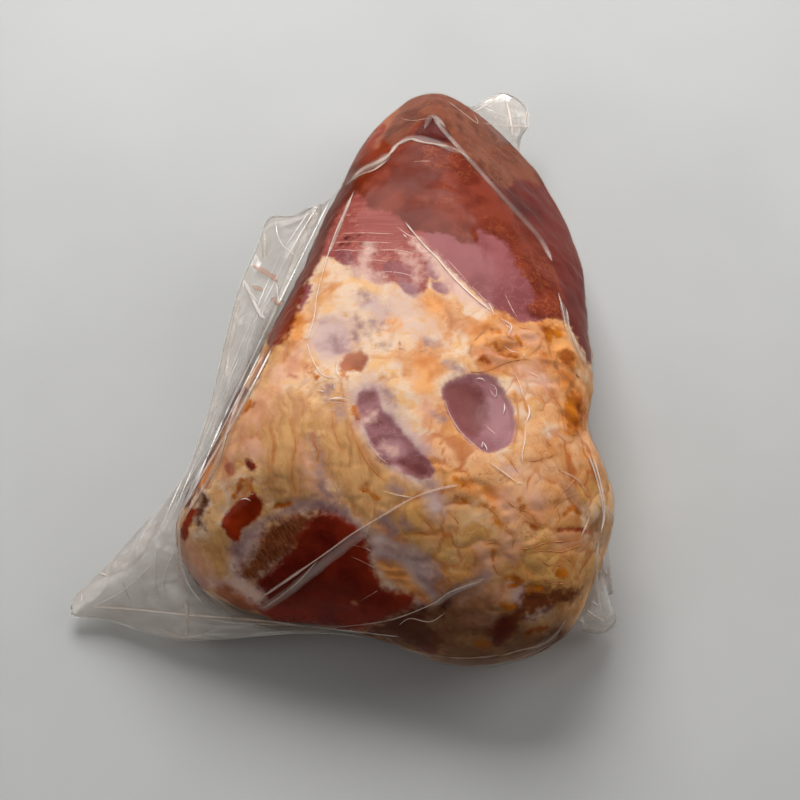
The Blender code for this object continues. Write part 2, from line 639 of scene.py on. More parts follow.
@dataclass(frozen=True)
class Patch:
    """A stretch of tissue inside a closed outline of pixels, which may stand out of the fat or lie in it."""

    outline: Pixels
    rise: float = 0.0

    def inside(self, pixels: Array) -> Array:
        """How far inside the patch each pixel is.

        Args:
            pixels: Columns and rows, one pixel a row.

        Returns:
            The distance in pixels, below zero outside.
        """
        line = closed_curve(self.outline, 6 * len(self.outline))
        far = distance_to_line(pixels, np.vstack([line, line[:1]]))
        return np.where(inside_outline(pixels, line), far, -far)

    def box(self) -> tuple[Array, Array]:
        """The outline's lowest and highest pixel."""
        return np.min(self.outline, axis=0), np.max(self.outline, axis=0)


@dataclass(frozen=True)
class Stroke:
    """A stretch of tissue along a line of pixels, as a slit, a streak or a blob."""

    path: Pixels
    half_width: float
    rise: float = 0.0

    def inside(self, pixels: Array) -> Array:
        """How far inside the stroke each pixel is, in pixels, below zero outside."""
        line = open_curve(self.path, 5 * len(self.path))
        return self.half_width - distance_to_line(pixels, line)

    def box(self) -> tuple[Array, Array]:
        """The stroke's lowest and highest pixel."""
        return np.min(self.path, axis=0) - self.half_width, np.max(self.path, axis=0) + self.half_width


@dataclass(frozen=True)
class Tint:
    """A soft blot of colour across the fat, by its middle pixel, its reach in pixels and its strength."""

    middle: tuple[float, float]
    reach: float
    strength: float = 1.0


MARKS: dict[Tissue, tuple[Patch | Stroke, ...]] = {
    Tissue.LAVENDER: (
        Patch(((320, 319), (333, 317), (345, 324), (352, 339), (350, 352), (340, 358), (325, 358),
               (314, 350), (311, 338), (315, 326)), rise=-0.6),
        Patch(((358, 298), (372, 296), (384, 304), (392, 316), (384, 322), (370, 313), (360, 308))),
        Patch(((372, 531), (386, 533), (399, 545), (414, 549), (428, 560), (436, 578), (426, 598),
               (406, 592), (400, 586), (388, 584), (375, 565), (367, 548))),
        Patch(((226, 547), (238, 540), (252, 527), (265, 526), (262, 540), (250, 558), (243, 574),
               (232, 571))),
        Patch(((428, 488), (444, 500), (440, 516), (426, 508))),
        Patch(((350, 392), (366, 382), (384, 388), (394, 410), (412, 428), (432, 450), (440, 468),
               (430, 484), (408, 482), (384, 468), (362, 440), (352, 416))),
        # This patch paints a pale highlight on the film.
        Patch(((412, 586), (428, 582), (440, 590), (436, 602), (420, 612), (412, 604))),
        Patch(((512, 586), (521, 584), (526, 594), (520, 608), (511, 606))),
        Stroke(((532, 618), (540, 613), (548, 610)), 4.5),
    ),
    Tissue.TAN: (
        Patch(((283, 337), (286, 348), (283, 362), (274, 376), (268, 392), (262, 404), (252, 420),
               (244, 440), (238, 440), (244, 416), (254, 396), (262, 380), (268, 362),
               (274, 346)), rise=0.6),
        Patch(((262, 402), (276, 392), (292, 388), (306, 396), (312, 420), (313, 445), (310, 462),
               (314, 480), (318, 494), (305, 501), (290, 502), (276, 500), (266, 490), (262, 470),
               (258, 450), (260, 425)), rise=0.4),
        Patch(((318, 408), (334, 410), (345, 402), (353, 406), (354, 422), (362, 440), (374, 456),
               (388, 468), (404, 478), (412, 492), (404, 510), (388, 516), (372, 522), (360, 512),
               (348, 500), (338, 486), (326, 470), (318, 450), (316, 430)), rise=0.4),
        Patch(((204, 480), (205, 460), (212, 442), (224, 425), (232, 420), (228, 435), (218, 452),
               (212, 468))),
        Patch(((212, 530), (226, 528), (232, 546), (226, 562), (214, 560), (206, 546))),
        Patch(((318, 385), (326, 386), (330, 392), (322, 398), (314, 394))),
        Stroke(((504, 604), (503, 614)), 6.5), Stroke(((462, 638), (476, 638), (490, 644)), 5.5),
        Stroke(((532, 628), (548, 622), (562, 612)), 4.5), Stroke(((440, 642), (438, 652)), 3),
    ),
    Tissue.ORANGE_FAT: (
        Stroke(((400, 96), (390, 110), (380, 128)), 3),
        Patch(((422, 288), (433, 289), (444, 297), (446, 308), (440, 319), (430, 314),
               (422, 304)), rise=0.5),
        Patch(((386, 317), (396, 318), (402, 325), (398, 331), (390, 327)), rise=0.4),
        Patch(((414, 360), (425, 355), (436, 360), (437, 374), (426, 381), (415, 374)), rise=0.5),
        Patch(((412, 380), (428, 380), (438, 390), (430, 398), (416, 394)), rise=0.4),
        Patch(((466, 332), (480, 322), (500, 316), (518, 322), (540, 320), (560, 320), (571, 340),
               (580, 364), (572, 372), (556, 366), (540, 372), (526, 362), (505, 366), (484, 372),
               (474, 356)), rise=0.9),
        Patch(((290, 316), (300, 314), (306, 324), (303, 338), (294, 350), (288, 340)), rise=0.4),
        Patch(((376, 563), (388, 561), (404, 567), (412, 578), (424, 592), (431, 605), (418, 600),
               (400, 588), (384, 578))),
        Stroke(((430, 462), (446, 474), (466, 484), (488, 492), (506, 512)), 7),
        Patch(((556, 368), (572, 372), (584, 388), (592, 404), (588, 424), (576, 440), (562, 424),
               (556, 396)), rise=0.8),
    ),
    Tissue.ROSE: (
        Patch(((300, 446), (311, 453), (322, 478), (336, 500), (322, 502), (308, 482), (301, 463))),
        Patch(((286, 352), (300, 350), (304, 362), (298, 374), (284, 378), (276, 390), (272, 380),
               (280, 364))),
        Patch(((258, 398), (268, 398), (270, 410), (262, 424), (254, 430), (250, 420))),
        Patch(((240, 436), (254, 438), (262, 448), (258, 462), (246, 456), (238, 448))),
        Patch(((500, 326), (516, 332), (530, 330), (542, 336), (538, 348), (524, 344), (508, 340))),
        Patch(((514, 360), (528, 360), (540, 364), (548, 378), (556, 396), (548, 396), (536, 380),
               (522, 372))),
        Patch(((484, 348), (500, 354), (512, 362), (500, 366), (486, 362))),
        Patch(((498, 492), (512, 496), (520, 512), (512, 522), (502, 508))),
        Patch(((528, 492), (540, 496), (544, 512), (536, 520), (528, 506))),
        Patch(((505, 535), (516, 538), (518, 556), (508, 560), (502, 548))),
        Patch(((476, 546), (488, 548), (496, 560), (496, 576), (480, 574), (474, 560))),
        Stroke(((462, 600), (484, 594), (500, 594)), 6), Stroke(((470, 622), (490, 618)), 6),
        Patch(((418, 404), (432, 402), (436, 414), (424, 418))),
        Patch(((556, 536), (574, 534), (584, 540), (574, 548), (558, 546))),
        Patch(((180, 540), (194, 546), (206, 562), (214, 578), (202, 580), (188, 566), (180, 552))),
        Stroke(((262, 394), (247, 420), (234, 448), (224, 470)), 4),
    ),
    Tissue.PINK: (
        Patch(((356, 180), (376, 188), (396, 200), (412, 214), (428, 232), (436, 248), (430, 268),
               (426, 290), (410, 293), (394, 283), (376, 283), (355, 268), (340, 262), (329, 257),
               (318, 254), (322, 236), (332, 208))),
    ),
    # Lighter mauve where the film stands off the muscle: partly the muscle's colour, partly a painted veil of
    # reflection.
    Tissue.MAUVE_AND_VEIL: (
        Patch(((415, 218), (443, 220), (464, 228), (486, 220), (512, 230), (524, 256), (540, 280),
               (548, 299), (540, 309), (545, 319), (521, 322), (505, 312), (491, 309), (463, 281),
               (438, 258))),
        Patch(((336, 249), (350, 251), (354, 260), (348, 267), (340, 262), (334, 256))),
        Patch(((384, 262), (398, 262), (412, 268), (416, 278), (404, 279), (390, 275), (383, 270))),
        Patch(((318, 244), (323, 250), (316, 268), (310, 280), (308, 272), (312, 258))),
        Patch(((304, 286), (312, 286), (310, 296), (304, 306), (300, 312), (300, 300))),
    ),
    Tissue.SMOKED: (
        Patch(((353, 189), (345, 176), (356, 130), (386, 80), (430, 66), (490, 76), (550, 110), (590, 165),
               (606, 230), (616, 320), (606, 344), (575, 326), (552, 319), (535, 318), (527, 308),
               (535, 300), (529, 285), (516, 267), (508, 246), (491, 234), (477, 231), (478, 244),
               (462, 242), (443, 234), (415, 231), (400, 219), (386, 211), (371, 210),
               (363, 198)), rise=0.5),
    ),
    Tissue.FAR_BROWN: (
        Patch(((352, 160), (362, 120), (384, 90), (405, 74), (425, 72), (452, 76), (484, 88), (510, 104),
               (534, 120), (552, 142), (562, 172), (545, 186), (520, 180), (505, 190), (488, 178),
               (468, 160), (450, 145), (440, 130), (428, 118), (415, 128), (400, 140), (383, 150))),
    ),
    Tissue.MAROON: (
        Stroke(((346, 238), (358, 236)), 1.3), Stroke(((339, 245), (350, 242)), 1.3),
        Stroke(((361, 244), (365, 245)), 1.6), Stroke(((370, 245), (374, 246)), 1.8),
        Patch(((430, 118), (441, 127), (453, 141), (437, 143), (420, 138), (413, 135),
               (421, 126)), rise=-1),
        Patch(((488, 179), (505, 190), (520, 180), (545, 186), (562, 168), (582, 200), (594, 236),
               (604, 275), (612, 330), (612, 366), (592, 364), (578, 340), (567, 318), (559, 285),
               (551, 260), (539, 239), (520, 220), (503, 202))),
        Stroke(((399, 343), (400, 347), (403, 350)), 1.2),
        Stroke(((247, 392), (236, 401), (224, 415), (211, 436), (202, 458), (196, 482)), 4),
        Stroke(((190, 490), (186, 504)), 4),
    ),
    # The left side face, turned away from the light: partly the meat's own red-brown, partly painted shade.
    Tissue.STRIP: (
        Stroke(((376, 152), (356, 172), (331, 200), (315, 228), (303, 258), (291, 288), (281, 312),
                (275, 332)), 15),
        Stroke(((272, 344), (262, 366), (252, 386)), 2.2),
    ),
    Tissue.VIOLET: (
        Stroke(((372, 275), (377, 277)), 2.2), Stroke(((353, 269), (356, 274)), 2),
        Stroke(((334, 334), (338, 346)), 2),
        Patch(((240, 536), (252, 526), (264, 518), (284, 507), (302, 499), (320, 498), (346, 508),
               (364, 528), (372, 548), (358, 540), (337, 520), (306, 512), (284, 518), (268, 522),
               (256, 534), (246, 548))),
        Patch(((444, 361), (452, 361), (460, 367), (466, 372), (458, 374), (450, 371))),
        Stroke(((362, 292), (367, 297)), 2.4), Stroke(((372, 324), (378, 327)), 2.4),
        Stroke(((357, 318), (360, 326)), 2), Stroke(((355, 334), (358, 346)), 2.6),
        Stroke(((366, 332), (369, 335)), 1.8), Stroke(((382, 344), (388, 347)), 2),
        Stroke(((329, 388), (327, 398)), 2.6), Stroke(((312, 436), (318, 456), (320, 474)), 3.4),
        Stroke(((321, 480), (324, 492), (332, 497)), 4), Stroke(((340, 408), (341, 416)), 2.4),
        Stroke(((384, 518), (392, 530)), 5.5), Stroke(((402, 522), (409, 526)), 3),
        Stroke(((388, 548), (402, 554), (416, 556)), 5), Stroke(((428, 560), (436, 570)), 4),
        Stroke(((418, 579), (430, 580), (440, 578)), 3), Stroke(((254, 528), (258, 524)), 2.4),
        Stroke(((234, 548), (242, 562), (244, 574)), 5), Stroke(((428, 342), (434, 344)), 3),
        Stroke(((386, 392), (392, 402)), 3.5), Stroke(((436, 416), (444, 418)), 2.6),
        Stroke(((420, 470), (430, 484)), 3.4), Stroke(((392, 486), (400, 492)), 4),
        Stroke(((284, 512), (300, 508), (318, 510)), 4),
        Stroke(((446, 600), (456, 591), (470, 585), (486, 576)), 4.5),
        Stroke(((483, 376), (496, 382), (504, 396), (511, 408)), 2.6),
    ),
    Tissue.PURPLE: (
        Patch(((397, 280), (408, 281), (418, 288), (416, 297), (404, 292))),
        Patch(((427, 262), (436, 262), (441, 272), (437, 280), (428, 276)), rise=-0.5),
        Patch(((431, 283), (440, 280), (449, 287), (447, 294), (436, 292)), rise=-0.5),
        Patch(((442, 386), (450, 380), (464, 375), (484, 373), (497, 380), (507, 395), (513, 408),
               (516, 428), (512, 442), (500, 450), (486, 452), (473, 444), (460, 431), (449, 413),
               (444, 399)), rise=-1.6),
        Patch(((357, 397), (367, 389), (377, 393), (383, 411), (394, 421), (407, 437), (421, 452),
               (434, 467), (428, 478), (413, 476), (397, 467), (379, 454), (367, 433),
               (360, 415)), rise=-1),
    ),
    Tissue.DEEP_PURPLE: (
        Patch(((444, 389), (453, 382), (468, 380), (482, 388), (488, 402), (488, 416), (482, 428),
               (472, 436), (460, 427), (451, 410), (446, 399))),
        Patch(((358, 402), (364, 394), (372, 390), (378, 393), (374, 399), (366, 402))),
        Patch(((398, 462), (406, 452), (416, 452), (426, 462), (432, 474), (424, 478), (410, 474))),
        Stroke(((373, 420), (380, 421)), 2.2), Stroke(((376, 441), (380, 443)), 1.8),
        Stroke(((382, 437), (392, 435)), 1.4), Stroke(((380, 456), (388, 462)), 2.6),
        Stroke(((200, 468), (196, 478), (197, 490)), 3.6),
        Patch(((417, 644), (432, 640), (438, 648), (430, 655), (420, 654))),
    ),
    Tissue.BROWN: (
        # All but the third mark lie along the near bottom edge, where they are partly brown meat and partly
        # painted shade.
        Stroke(((420, 616), (438, 612), (446, 602)), 2.6, rise=-0.8),
        Stroke(((450, 632), (470, 631), (492, 632)), 1.6, rise=-0.8),
        Stroke(((204, 500), (200, 510), (198, 522)), 5.5, rise=-0.6),
        Patch(((336, 632), (364, 628), (392, 617), (413, 608), (430, 606), (428, 622), (444, 640),
               (430, 652), (400, 642), (368, 638))),
        Patch(((524, 590), (540, 588), (558, 588), (578, 588), (574, 600), (556, 606), (541, 612),
               (530, 618), (521, 612), (520, 602))),
        Patch(((522, 604), (530, 612), (521, 624), (512, 638), (500, 647), (489, 646), (492, 634),
               (500, 620), (511, 611))),
        Patch(((541, 640), (553, 632), (564, 630), (558, 646), (544, 656), (536, 654))),
    ),
    Tissue.FIBROUS: (
        Patch(((256, 543), (264, 530), (278, 520), (300, 514), (323, 513), (312, 526), (300, 540),
               (288, 555), (272, 568), (256, 580), (243, 582), (239, 570), (248, 560)), rise=0.5),
    ),
    Tissue.DARK: (
        Patch(((321, 512), (337, 514), (352, 523), (364, 534), (369, 553), (375, 571), (386, 588),
               (411, 594), (413, 607), (392, 617), (364, 628), (336, 634), (300, 632), (274, 622),
               (252, 608), (246, 592), (258, 578), (274, 566), (288, 551), (299, 533),
               (310, 520)), rise=0.8),
        Patch(((500, 618), (512, 618), (510, 636), (498, 646), (490, 640), (494, 628))),
    ),
    Tissue.SALMON: (
        Stroke(((406, 94), (396, 108), (385, 126), (375, 144)), 4.5), Stroke(((354, 602), (357, 603)), 1.5),
        Patch(((345, 355), (352, 352), (362, 352), (368, 357), (366, 366), (362, 372), (354, 370),
               (349, 372), (344, 373), (340, 369), (341, 361)), rise=-0.6),
        Stroke(((289, 374), (295, 376)), 1.6), Stroke(((582, 530), (592, 532)), 2.4),
        Patch(((224, 463), (232, 463), (235, 471), (231, 476), (225, 474)), rise=-0.4),
        Patch(((211, 581), (226, 582), (242, 590), (254, 602), (252, 612), (240, 611), (228, 602),
               (216, 592)), rise=0.6),
    ),
    Tissue.PALE: (
        Patch(((358, 262), (362, 250), (370, 244), (374, 252), (368, 262), (372, 272), (384, 276),
               (380, 283), (366, 280), (352, 268))),
        Patch(((398, 252), (412, 256), (420, 262), (422, 275), (416, 284), (412, 270), (404, 262))),
        Patch(((415, 236), (426, 246), (440, 260), (456, 278), (474, 296), (490, 309), (478, 308),
               (460, 300), (446, 286), (434, 268), (424, 256), (412, 244))),
        # The second stroke on the next line paints a faint highlight on the film.
        Stroke(((357, 421), (366, 419), (374, 413)), 3), Stroke(((384, 444), (394, 450)), 2.6),
        Patch(((501, 462), (510, 466), (520, 472), (519, 476), (508, 473)), rise=-0.5),
        Patch(((178, 556), (186, 562), (198, 572), (210, 578), (226, 578), (240, 577), (262, 590),
               (264, 598), (256, 602), (240, 590), (222, 584), (204, 590), (188, 578))),
    ),
    Tissue.AMBER: (
        Stroke(((352, 368), (361, 370)), 1.6), Stroke(((341, 371), (344, 372)), 1.4),
        Stroke(((342, 376), (346, 378)), 2), Stroke(((306, 366), (312, 371), (317, 377)), 1.8),
        Stroke(((354, 408), (358, 418)), 2.6), Stroke(((493, 332), (501, 333)), 2.2, rise=-1),
        Stroke(((487, 344), (494, 346), (500, 350), (508, 355), (518, 357)), 1.7, rise=-1.2),
        Stroke(((481, 359), (488, 361)), 2.6), Stroke(((516, 337), (521, 344), (519, 351)), 1.4),
        Patch(((543, 327), (553, 327), (562, 331), (561, 338), (553, 337), (551, 345),
               (545, 340)), rise=-0.8),
        Patch(((562, 350), (570, 351), (574, 358), (570, 364), (563, 362), (560, 356)), rise=0.6),
        Patch(((567, 396), (574, 392), (582, 406), (582, 424), (577, 434), (569, 430),
               (565, 412)), rise=0.6),
        Patch(((557, 568), (565, 568), (568, 575), (562, 579), (556, 576))),
        Stroke(((508, 578), (516, 579), (523, 582)), 2.6), Stroke(((511, 588), (517, 586)), 2),
        Stroke(((566, 514), (574, 508), (580, 512)), 2.4), Stroke(((494, 518), (501, 527)), 2.6),
        Stroke(((484, 505), (494, 511)), 2.2), Stroke(((519, 502), (523, 509)), 2.2),
        Stroke(((456, 496), (470, 503)), 2), Stroke(((493, 552), (493, 560)), 1.5),
        Stroke(((363, 490), (372, 494), (377, 498)), 1.5), Stroke(((528, 524), (536, 527)), 2),
        Patch(((273, 507), (280, 502), (290, 502), (288, 506), (278, 509)), rise=-0.5),
        Stroke(((234, 497), (238, 488), (241, 480)), 3), Stroke(((251, 480), (249, 490)), 2.4),
        Stroke(((528, 590), (540, 589)), 2.4), Stroke(((528, 634), (538, 630), (546, 629)), 2.6),
        Stroke(((456, 480), (462, 486)), 3), Stroke(((504, 606), (510, 608)), 4),
        Stroke(((250, 404), (239, 412), (227, 426), (216, 446), (208, 466), (205, 484)), 4),
        Patch(((474, 640), (484, 640), (492, 647), (484, 650), (474, 646))),
    ),
    Tissue.GLAZE: (
        Stroke(((384, 128), (374, 139), (372, 146)), 3),
        Stroke(((559, 530), (570, 529), (582, 529)), 1.9, rise=-1.4),
        Patch(((238, 500), (246, 497), (252, 492), (258, 495), (262, 503), (261, 512), (255, 520),
               (248, 527), (242, 531), (240, 540), (235, 542), (228, 535), (221, 525), (222, 518),
               (227, 511), (232, 506)), rise=0.8),
        Patch(((244, 459), (250, 459), (256, 465), (254, 471), (247, 467)), rise=0.5),
        Stroke(((192, 512), (186, 526), (184, 536)), 4.5),
    ),
}

TINTS: dict[Wash, tuple[Tint, ...]] = {
    Wash.OCHRE: (
        Tint((222, 450), 30), Tint((252, 430), 34, 0.8), Tint((290, 470), 36), Tint((300, 420), 34, 0.9),
        Tint((345, 455), 34), Tint((372, 492), 36), Tint((410, 515), 40, 0.9), Tint((214, 560), 24, 0.8),
        Tint((470, 560), 60, 0.7), Tint((560, 570), 50), Tint((330, 400), 22, 0.6),
        Tint((250, 500), 30, 0.6), Tint((270, 520), 30, 0.6), Tint((480, 620), 60, 0.8),
        Tint((390, 380), 16, 0.4), Tint((590, 400), 24, 0.7), Tint((590, 490), 24, 0.7),
        Tint((275, 350), 18, 0.7),
    ),
    Wash.PEACH: (
        Tint((520, 345), 38), Tint((566, 400), 38), Tint((445, 440), 34, 0.8), Tint((460, 480), 50),
        Tint((520, 510), 60), Tint((570, 470), 50), Tint((425, 370), 28, 0.8), Tint((500, 570), 60, 0.9),
        Tint((430, 530), 50, 0.8), Tint((285, 370), 26, 0.6), Tint((450, 320), 22, 0.6),
        Tint((330, 290), 12, 0.5), Tint((540, 410), 36, 0.6), Tint((400, 350), 14, 0.4),
        Tint((300, 330), 16, 0.6),
    ),
    # Painted shade: blots that darken the fat, strongest along the near bottom edge and the right edge.
    Wash.PAINTED_SHADE: (
        Tint((450, 625), 50, 1.2), Tint((400, 640), 44, 1.2), Tint((520, 650), 46, 1.2),
        Tint((340, 395), 20, 0.3), Tint((250, 550), 26, 0.5), Tint((412, 570), 26, 0.5),
        Tint((210, 520), 22, 0.4), Tint((560, 640), 40), Tint((590, 580), 26, 0.6),
        Tint((602, 470), 22, 0.7), Tint((604, 530), 26, 0.8), Tint((598, 400), 16, 0.6),
        Tint((470, 640), 60, 1.5), Tint((425, 625), 30, 1.3),
    ),
}


@dataclass(frozen=True)
class Line:
    """A thin line in the photograph: its pixels, and its thickness as a share of the full one."""

    path: Pixels
    share: float = 1.0


FASCIA_LINES: tuple[Line, ...] = (
    Line(((338, 216), (350, 215), (363, 216)), 0.7), Line(((336, 234), (360, 233), (396, 234))),
    Line(((331, 243), (356, 242), (394, 243)), 0.8),
    Line(((329, 251), (346, 250), (360, 251), (396, 250), (418, 255))),
    Line(((358, 262), (374, 260), (388, 262)), 0.7), Line(((382, 271), (405, 274), (422, 280)), 0.8),
    Line(((411, 162), (425, 161), (438, 162)), 0.7), Line(((396, 226), (410, 236), (424, 238)), 0.9),
    Line(((446, 258), (468, 282), (488, 303), (506, 318)), 0.5),
    Line(((505, 294), (511, 307), (518, 319)), 0.8),
    Line(((444, 396), (449, 413), (460, 431), (472, 443), (486, 454)), 0.8),
    Line(((355, 424), (364, 440), (378, 456), (392, 466)), 0.5),
    Line(((484, 424), (492, 431), (501, 439)), 0.6),
    Line(((322, 460), (330, 474), (336, 488), (344, 498)), 0.6),
    Line(((338, 359), (335, 366), (338, 374)), 0.9), Line(((357, 603), (370, 595), (384, 587)), 0.45),
    Line(((341, 358), (339, 364)), 0.8), Line(((374, 540), (386, 552), (392, 572)), 0.6),
    Line(((352, 545), (366, 548), (376, 556)), 0.7), Line(((350, 556), (364, 562), (378, 570)), 0.6),
    Line(((470, 300), (482, 306), (494, 308)), 0.8), Line(((494, 312), (504, 322), (511, 331))),
    Line(((533, 486), (538, 480), (544, 477)), 0.9), Line(((330, 404), (338, 402), (346, 404)), 1.2),
    Line(((320, 412), (330, 410), (340, 410)), 0.9), Line(((316, 384), (322, 386), (326, 391)), 1.1),
)

VEIN_LINES: tuple[Line, ...] = (
    Line(((466, 372), (482, 372), (492, 369), (500, 365), (511, 361), (528, 359)), 0.7),
    Line(((553, 392), (556, 401), (561, 408), (565, 420), (567, 430), (572, 435), (580, 434)), 1.2),
    Line(((552, 362), (562, 375), (571, 384), (580, 392), (589, 401))),
    Line(((587, 390), (583, 402), (586, 412), (580, 424))),
    Line(((545, 438), (549, 445), (556, 448), (562, 446)), 0.9),
    Line(((523, 460), (534, 461), (546, 458), (557, 454)), 0.9),
    Line(((515, 392), (518, 410), (517, 430), (513, 446)), 0.8),
    Line(((583, 468), (576, 478), (568, 488), (562, 492), (557, 502), (553, 511)), 1.2),
    Line(((558, 504), (566, 498), (578, 494), (592, 497)), 0.8),
    Line(((500, 452), (508, 458), (516, 470), (524, 480)), 0.7),
    Line(((487, 328), (477, 338), (470, 350), (474, 362)), 0.8), Line(((506, 335), (514, 340), (522, 341))),
    Line(((486, 340), (494, 342), (502, 346), (510, 350)), 0.9),
    Line(((528, 356), (534, 352), (540, 346), (541, 338)), 0.9),
    Line(((512, 320), (520, 328), (532, 330), (540, 336)), 0.8),
    Line(((548, 348), (552, 356), (550, 364)), 0.9),
    Line(((556, 364), (560, 372), (558, 382), (562, 392)), 0.9),
    Line(((570, 368), (578, 376), (586, 386)), 0.9), Line(((520, 498), (523, 508), (519, 514)), 0.9),
    Line(((486, 545), (494, 541), (500, 546)), 0.9), Line(((493, 549), (493, 561), (497, 572), (506, 577))),
    Line(((520, 549), (532, 548), (545, 543), (572, 540), (583, 536)), 0.9),
    Line(((530, 553), (545, 550), (560, 552), (575, 547), (584, 543)), 0.9),
    Line(((504, 499), (516, 508), (528, 512), (535, 520), (540, 529)), 0.9),
    Line(((480, 502), (494, 512), (503, 526)), 0.9), Line(((470, 549), (476, 556), (474, 567)), 0.9),
    Line(((440, 594), (436, 586), (441, 580)), 0.8), Line(((556, 508), (560, 518), (556, 528)), 0.8),
    Line(((575, 503), (580, 511), (578, 522)), 0.9), Line(((506, 530), (514, 536), (512, 548)), 0.8),
    Line(((448, 512), (458, 522), (456, 534)), 0.7), Line(((540, 560), (552, 566), (566, 562)), 0.8),
    Line(((562, 556), (572, 562), (576, 574)), 0.8), Line(((420, 516), (430, 524), (436, 536)), 0.7),
    Line(((312, 434), (315, 444), (319, 452), (317, 462)), 1.1),
    Line(((300, 396), (306, 404), (302, 416)), 0.8), Line(((341, 378), (342, 390), (344, 400))),
    Line(((246, 402), (238, 418), (232, 432)), 0.9), Line(((262, 340), (254, 356), (262, 372)), 0.6),
    Line(((366, 484), (370, 492), (378, 500))), Line(((360, 488), (368, 492)), 0.9),
    Line(((283, 362), (287, 348), (285, 336))), Line(((332, 412), (334, 430), (342, 450)), 0.7),
    Line(((350, 424), (358, 446), (370, 466), (386, 482)), 0.8),
    Line(((272, 430), (274, 450), (270, 470)), 0.6),
    Line(((290, 420), (296, 444), (292, 470), (296, 494)), 0.6),
    Line(((444, 308), (452, 318), (450, 330)), 0.7), Line(((418, 352), (428, 350), (432, 356)), 0.7),
    Line(((544, 580), (556, 584), (570, 582)), 0.9), Line(((486, 586), (492, 590), (490, 594)), 0.9),
)

# Real creases in the film; the whitish colour of their ribs paints the highlights along them.
FILM_CREASES: tuple[Line, ...] = (
    Line(((350, 181), (363, 169), (377, 163), (389, 155), (397, 145), (410, 139), (422, 142), (434, 144),
          (450, 147)), 1.6),
    Line(((346, 184), (360, 175), (374, 170), (388, 160))), Line(((450, 147), (462, 153), (470, 160))),
    Line(((400, 118), (412, 121), (424, 119), (433, 118)), 0.4),
    Line(((446, 100), (462, 112), (478, 124), (474, 114)), 0.6),
    Line(((460, 485), (438, 489), (413, 498), (380, 517), (352, 534), (330, 550), (300, 571), (262, 597))),
    Line(((318, 560), (300, 580), (282, 595), (262, 609)), 0.6),
    Line(((416, 498), (398, 495), (380, 490)), 0.5),
    Line(((330, 628), (389, 620), (432, 604), (450, 592), (480, 581)), 0.45),
    Line(((581, 537), (591, 513)), 0.8), Line(((566, 308), (570, 330), (578, 350), (589, 374)), 1.1),
    Line(((558, 292), (563, 312), (566, 330)), 0.6),
    Line(((354, 191), (346, 210), (336, 232), (329, 252), (322, 276), (317, 296), (314, 318),
          (307, 342)), 0.6),
    Line(((307, 342), (310, 354), (316, 366), (324, 376), (336, 377)), 0.9),
    Line(((266, 350), (244, 390), (232, 418), (224, 444), (218, 464), (202, 490), (184, 518)), 1.1),
    Line(((246, 384), (236, 404), (228, 430), (221, 452), (206, 482)), 0.8),
    Line(((179, 540), (179, 572), (187, 592)), 0.9), Line(((201, 588), (218, 600), (238, 614)), 1.2),
    Line(((560, 470), (578, 480), (592, 500)), 0.5),
    Line(((382, 634), (404, 648), (430, 655), (446, 657)), 1.2),
    Line(((446, 657), (470, 658), (500, 655)), 0.7),
    Line(((500, 656), (520, 650), (540, 645), (556, 634), (568, 616))),
    Line(((398, 626), (410, 618), (430, 622), (446, 612)), 0.5),
    Line(((502, 662), (530, 654), (552, 644)), 0.8),
)

FILM_GLINTS: tuple[Line, ...] = (
    Line(((500, 318), (512, 326), (508, 336)), 1.2), Line(((504, 346), (512, 352), (522, 352)), 1.1),
    Line(((338, 364), (336, 372), (341, 378)), 1.4), Line(((326, 400), (338, 398), (350, 400)), 1.4),
    Line(((405, 222), (413, 232), (425, 246), (437, 258), (449, 272), (461, 285), (474, 297), (484, 305),
          (492, 311)), 1.2),
    Line(((515, 373), (520, 385), (523, 395), (527, 403)), 0.9),
    Line(((527, 403), (530, 413), (526, 422)), 1.6),
    Line(((525, 426), (525, 440), (522, 455), (524, 467)), 0.9),
    Line(((488, 461), (500, 470), (510, 477), (519, 484)), 1.3),
    Line(((476, 379), (481, 378), (485, 381)), 1.3),
    Line(((489, 386), (493, 384), (497, 390), (496, 398), (492, 394), (489, 386)), 0.8),
    Line(((504, 403), (505, 409), (503, 414)), 1.3), Line(((482, 443), (486, 446), (487, 451)), 1.1),
    Line(((482, 448), (482, 442), (486, 444)), 0.9), Line(((240, 500), (246, 498), (251, 501)), 1.2),
    Line(((250, 494), (254, 494))), Line(((246, 461), (250, 460)), 0.9),
    Line(((227, 513), (230, 511)), 0.9), Line(((529, 372), (534, 374), (538, 377)), 1.3),
    Line(((516, 484), (520, 482), (523, 484))), Line(((330, 402), (336, 401)), 1.1),
    Line(((334, 384), (335, 390)), 0.9), Line(((318, 390), (324, 392))),
    Line(((500, 338), (504, 340)), 1.3), Line(((511, 329), (506, 325))), Line(((524, 352), (524, 358))),
    Line(((488, 303), (492, 309), (494, 316)), 1.2), Line(((403, 234), (407, 238)), 1.2),
)

